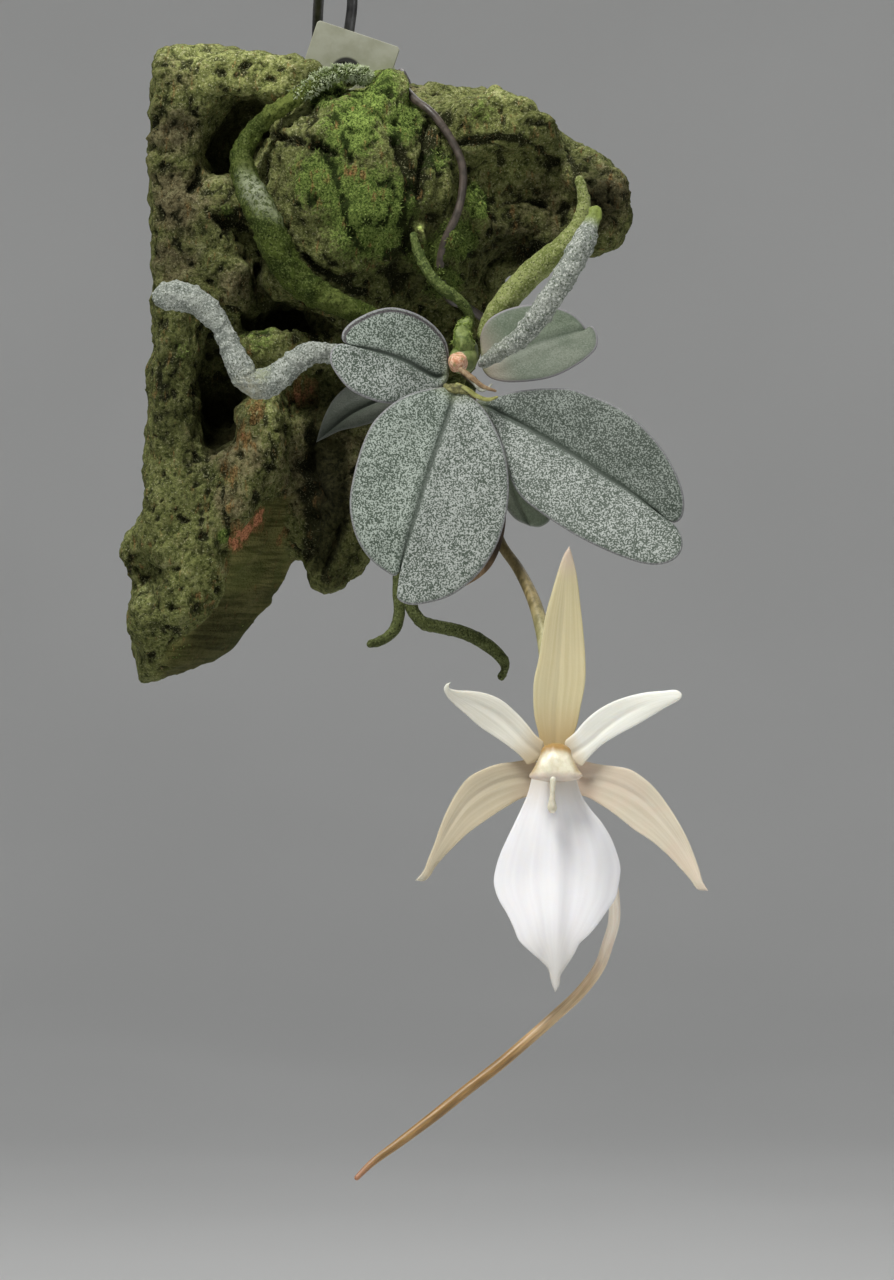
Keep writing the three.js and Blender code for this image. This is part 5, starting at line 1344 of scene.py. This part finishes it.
def make_lip():
    """The broad pleated lip, its sides waved and a keel at its base."""
    rib_y = profile([(0, -40.7), (0.25, -40.8), (0.5, -41), (0.75, -41.3), (1, -41.5)])

    def depth(x, z, over, along, off, front, rib):
        x = x - rib[:, 0]
        wave = 0.3 * np.cos(x * 1.1) * (1 - along) - 0.02 * x * x
        wave = wave + 0.5 * np.sin(9 * along) * (np.abs(x) / 8.7) ** 2
        pleats = 0.13 * np.sin(x * 1.9 + 0.6) * np.exp(-((x / 3.2) ** 2)) * smoothstep(along, 0.0, 0.2)
        keel = 0.5 * np.exp(-((x / 0.7) ** 2)) * smoothstep(along, 0.3, 0.0)
        return rib_y(along) - wave - pleats - keel - 0.25 * ripple(x, z, 6, 6.0)

    # The lip's base is painted greyer: a flush with painted shade from the column above
    skin = petal_material(
        "lip_skin", ((0.86, 0.845, 0.865), (0.92, 0.91, 0.925)), (0.62, 0.58, 0.52), (0.50, 0.49, 0.45),
        veins=9, base_end=0.2, tip_start=0.60, through=0.3,
    )
    mesh = blade(FLORAL["lip"], depth, PETAL_THICK, sides=110, steps=110, ends=(0.35, 0.6))
    return finish_piece("lip_white", mesh, skin, "lip", "lip")


def from_flower(points):
    """Points given from where the flower's parts meet."""
    return [tuple(FLOWER + p) for p in np.array(points)]


def make_column():
    """The hooded column, golden at its back and ivory in front, with the beak under it."""
    ivory = soft_material("column_skin", (0.68, 0.63, 0.46), (0.80, 0.76, 0.60), 1.0, 0.4, 0.25)
    _, over, along, _ = ivory.attribute("place")
    tone = ivory.fade(ivory.sum("ABSOLUTE", over), 0.6, 0.95, ivory.tone, (0.42, 0.30, 0.14), 0.75)
    tone = ivory.fade(along, 0.42, 0.22, tone, (0.36, 0.22, 0.07))
    ivory.colour(ivory.fade(along, 0.74, 0.90, tone, (0.70, 0.60, 0.51), 0.85))

    def hood(x, t, front):
        ridge = -0.35 * np.exp(-((x / 1.0) ** 2)) * smoothstep(t, 0.4, 1.0) * (front > 0)
        skirt = 0.22 * np.sin(x * 3.3 + 1) * smoothstep(t, 0.75, 1.0)
        return ridge + skirt + 0.08 * np.sin(x * 5) * np.sin(t * 9)

    limb_piece(
        "column_hood", ivory, "column", ["column"],
        from_flower([(0.1, -1.9, 2.9), (0.1, -2.9, 1.4), (0.05, -3.9, -0.4), (0.05, -4.4, -2.2)]),
        [(0, 1.9), (0.35, 2.2), (0.7, 3.1), (0.9, 3.9), (1, 3.6)], [(0, 0.9), (0.5, 1.3), (1, 0.9)],
        facing=(0, -1, 0.4), lift=hood, ends=(0.6, 0.3),
    )
    limb_piece(
        "beak_tip", soft_material("beak_skin", (0.66, 0.62, 0.48), (0.78, 0.74, 0.60), 0.8, 0.4, 0.2),
        "column", ["beak"],
        from_flower([(-0.3, -4.5, -1.3), (-0.38, -4.65, -2.7), (-0.45, -4.3, -4.8), (-0.4, -3.6, -6.4)]),
        [(0, 0.55), (0.3, 0.36), (0.6, 0.4), (0.85, 0.66), (1, 0.35)], steps=40,
    )


def make_spur_and_stalk():
    """The spur, ivory above and brown below, and the stalk that carries the flower."""
    spur = Finish("spur_skin", Roughness=0.42, Subsurface_Weight=0.1, Subsurface_Scale=1.2 * MM)
    place, _, along, _ = spur.attribute("place")
    streak = spur.streaks(place, (3, 9, 1), 1.6, 3.0)
    tone = spur.fade(streak, 0.35, 0.65, (0.84, 0.75, 0.62), (0.93, 0.86, 0.74))
    tan = spur.fade(streak, 0.35, 0.65, (0.50, 0.36, 0.205), (0.70, 0.53, 0.32))
    brown = spur.fade(streak, 0.35, 0.65, (0.20, 0.115, 0.035), (0.37, 0.22, 0.078))
    tone = spur.fade(along, 0.30, 0.46, tone, tan)
    tone = spur.fade(along, 0.46, 0.66, tone, brown)
    spur.colour(spur.fade(along, 0.93, 1.0, tone, (0.34, 0.165, 0.085)))
    spur.bump(streak, 0.1, 0.5)
    limb_piece(
        "nectar_spur", spur, "spur", ["spur"],
        [(31.1, -36.4, -160.4), (33.2, -33.3, -162.2), (36, -30.5, -165.5), (38.3, -29, -170),
         (39.2, -29, -173.8), (39.4, -29, -178), (38.5, -29, -181.3), (37.3, -30, -184.4),
         (34.6, -31, -187.9), (31.3, -32, -190.9), (27.7, -33, -194), (23.5, -34, -197.5),
         (19, -35, -200.9), (14.5, -36, -204.4), (9.9, -37, -207.8), (6, -38, -210.6), (3.7, -39, -212.75)],
        [(0, 1.1), (0.1, 0.9), (0.4, 0.8), (0.8, 0.75), (0.95, 0.5), (1, 0.35)], sides=20, steps=160,
    )
    stalk = Finish("flower_stalk_skin", Roughness=0.5)
    _, _, along, _ = stalk.attribute("place")
    streak = stalk.grain(0.9, 3, 0.6, stretch=(1, 1, 0.4))
    brown = stalk.fade(streak, 0.35, 0.65, (0.115, 0.090, 0.032), (0.25, 0.195, 0.085))
    green = stalk.fade(streak, 0.35, 0.65, (0.30, 0.29, 0.13), (0.46, 0.45, 0.24))
    stalk.colour(stalk.fade(along, 0.55, 0.78, brown, green))
    stalk.bump(streak, 0.1, 0.5)
    limb_piece(
        "flower_stalk_skin", stalk, "flower_stalk", ["flower_stalk"],
        [(19.4, -13.4, -103.6), (20.4, -14.2, -109.3), (21.8, -14.6, -117.9), (23.7, -16.5, -125.2),
         (26.2, -19.5, -129.1), (28.2, -24, -133.3), (29.3, -28, -137.1), (29.9, -31, -140.6),
         (30.4, -34, -147.4), (30.8, -36, -153.6), (31, -36.6, -156.8)],
        [(0, 0.7), (0.4, 0.75), (0.6, 0.95), (0.85, 1.15), (1, 1)], sides=20, steps=120,
    )


# Hanger, tie and label


def make_wire(node, name, skin, slot, swell):
    """A wire from its node's form, made finer and brought back to its thickness."""
    mesh = copy_of(node, 2)
    place_at(mesh, coordinates(mesh) + outward(mesh) * swell)
    finish_piece(name, mesh, skin.material, slot, node)


def make_wires():
    """The galvanised hanger and the brown coated tie."""
    steel = Finish("galvanised_wire", Roughness=0.42, Metallic=1.0)
    steel.colour(steel.fade(steel.grain(2.5, 3), 0.35, 0.65, (0.065, 0.065, 0.065), (0.12, 0.12, 0.118)))
    steel.roughness(steel.ramp(steel.grain(0.6, 2), 0.3, 0.7, 0.32, 0.55))
    steel.bump(steel.grain(0.4, 2), 0.04, 0.5)
    make_wire("hanger_wire", "wire_hanger", steel, "steel_wire", 0.12)
    coat = Finish("brown_tie_coat", Roughness=0.45)
    coat.colour(coat.fade(coat.grain(1.2, 3), 0.35, 0.65, (0.038, 0.030, 0.022), (0.085, 0.066, 0.052)))
    coat.bump(coat.grain(0.5, 2), 0.06, 0.5)
    make_wire("tie_wire", "brown_tie", coat, "tie_wire", 0.1)


def make_label():
    """The blank plastic tag, its edges eased, with a film of dirt towards its foot and painted shade round
    its hole.
    """
    f = Finish("label_plastic", Roughness=0.55)
    height = f.node("SeparateXYZ", {0: f.object}).outputs[2]
    tone = f.fade(f.grain(3.5, 4, 0.6), 0.35, 0.7, (0.325, 0.33, 0.255), (0.26, 0.265, 0.19))
    ragged = f.ramp(f.grain(0.7, 3), 0.35, 0.65, 0.3, 0.8)
    dirty = f.sum("MULTIPLY", f.ramp(height, -53 * MM, -59.5 * MM), ragged)
    tone = f.mix(dirty, tone, (0.20, 0.22, 0.11))
    # A dark ring round the hole is painted shade
    f.colour(f.mix(f.spot((1.6, 0, -57.0), 2.1, 2.5), tone, (0.012, 0.012, 0.008)))
    f.bump(f.grain(0.8, 3), 0.05, 0.5)
    eased = {"width": 0.1 * MM, "segments": 2, "limit_method": "ANGLE", "angle_limit": math.radians(35)}
    mesh = changed(copy_of("plant_label"), "BEVEL", **eased)
    piece = finish_piece("plant_label_blank", mesh, f.material, "label_plastic", "plant_label")
    mesh.polygons.foreach_set("use_smooth", np.zeros(len(mesh.polygons), bool))
    return piece


# Studio


# Radius and height of the room's section, in metres, and the height of its floor
ROOM = [(0, 0), (1.9, 0), (2.3, 0.05), (2.65, 0.2), (2.88, 0.45), (3.0, 0.8), (3.02, 2.6)]
FLOOR_Z = -0.42
# Name, place and size in metres, power in watts and tint of each lamp
LAMPS = (
    ("key", (-0.30, -0.50, 0.80), 0.34, 14.0, (1.0, 0.99, 0.965)),
    ("fill", (0.9, -0.9, 0.05), 0.9, 1.6, (0.96, 0.98, 1.0)),
    ("back", (0.3, 1.1, 0.8), 0.9, 5.0, (1.0, 1.0, 1.0)),
)


def make_studio():
    """A plain pale room with rounded foot, soft light from above on the left and a level camera."""
    bm = bmesh.new()
    line = [bm.verts.new((r, 0, z + FLOOR_Z)) for r, z in ROOM]
    edges = [bm.edges.new(pair) for pair in zip(line, line[1:])]
    bmesh.ops.spin(
        bm, geom=line + edges, cent=(0, 0, 0), axis=(0, 0, 1), angle=2 * math.pi, steps=64, use_merge=True
    )
    bmesh.ops.remove_doubles(bm, verts=bm.verts, dist=1e-5)
    bmesh.ops.recalc_face_normals(bm, faces=bm.faces)
    mesh = mesh_of(bm, "studio_floor")
    f = Finish("pale_floor", Roughness=0.9)
    f.colour(f.fade(f.grain(400, 2), 0.3, 0.7, (0.74, 0.74, 0.73), (0.78, 0.78, 0.77)))
    floor = bpy.data.objects.new("studio_floor", mesh)
    bpy.context.scene.collection.objects.link(floor)
    mesh.materials.append(f.material)
    mesh.polygons.foreach_set("use_smooth", np.ones(len(mesh.polygons), bool))
    aim = Vector((12, -8, -110)) * MM
    for name, place, size, power, tint in LAMPS:
        light = bpy.data.lights.new(name, "AREA")
        light.shape, light.size, light.energy, light.color = "DISK", size, power, tint
        lamp = bpy.data.objects.new(name, light)
        lamp.location = place
        lamp.rotation_euler = (aim - Vector(place)).to_track_quat("-Z", "Y").to_euler()
        bpy.context.scene.collection.objects.link(lamp)
    world = bpy.data.worlds.new("room_light")
    bpy.context.scene.world = world
    world.use_nodes = True
    sky = world.node_tree.nodes["Background"].inputs
    sky["Color"].default_value = (0.95, 0.97, 1.0, 1)
    sky["Strength"].default_value = 0.28
    camera = bpy.data.cameras.new("camera")
    camera.lens, camera.sensor_width = LENS, 36
    camera.clip_start, camera.clip_end = 0.05, 20
    eye = bpy.data.objects.new("camera", camera)
    eye.location = Vector(EYE) * MM
    eye.rotation_euler = (math.pi / 2, 0, 0)
    bpy.context.scene.collection.objects.link(eye)
    bpy.context.scene.camera = eye
    bpy.context.scene.view_settings.view_transform = "Standard"


make_studio()
bark = make_bark()
make_moss(bark.data)
make_roots()
make_leaves()
make_crown()
make_flower()
make_wires()
make_label()
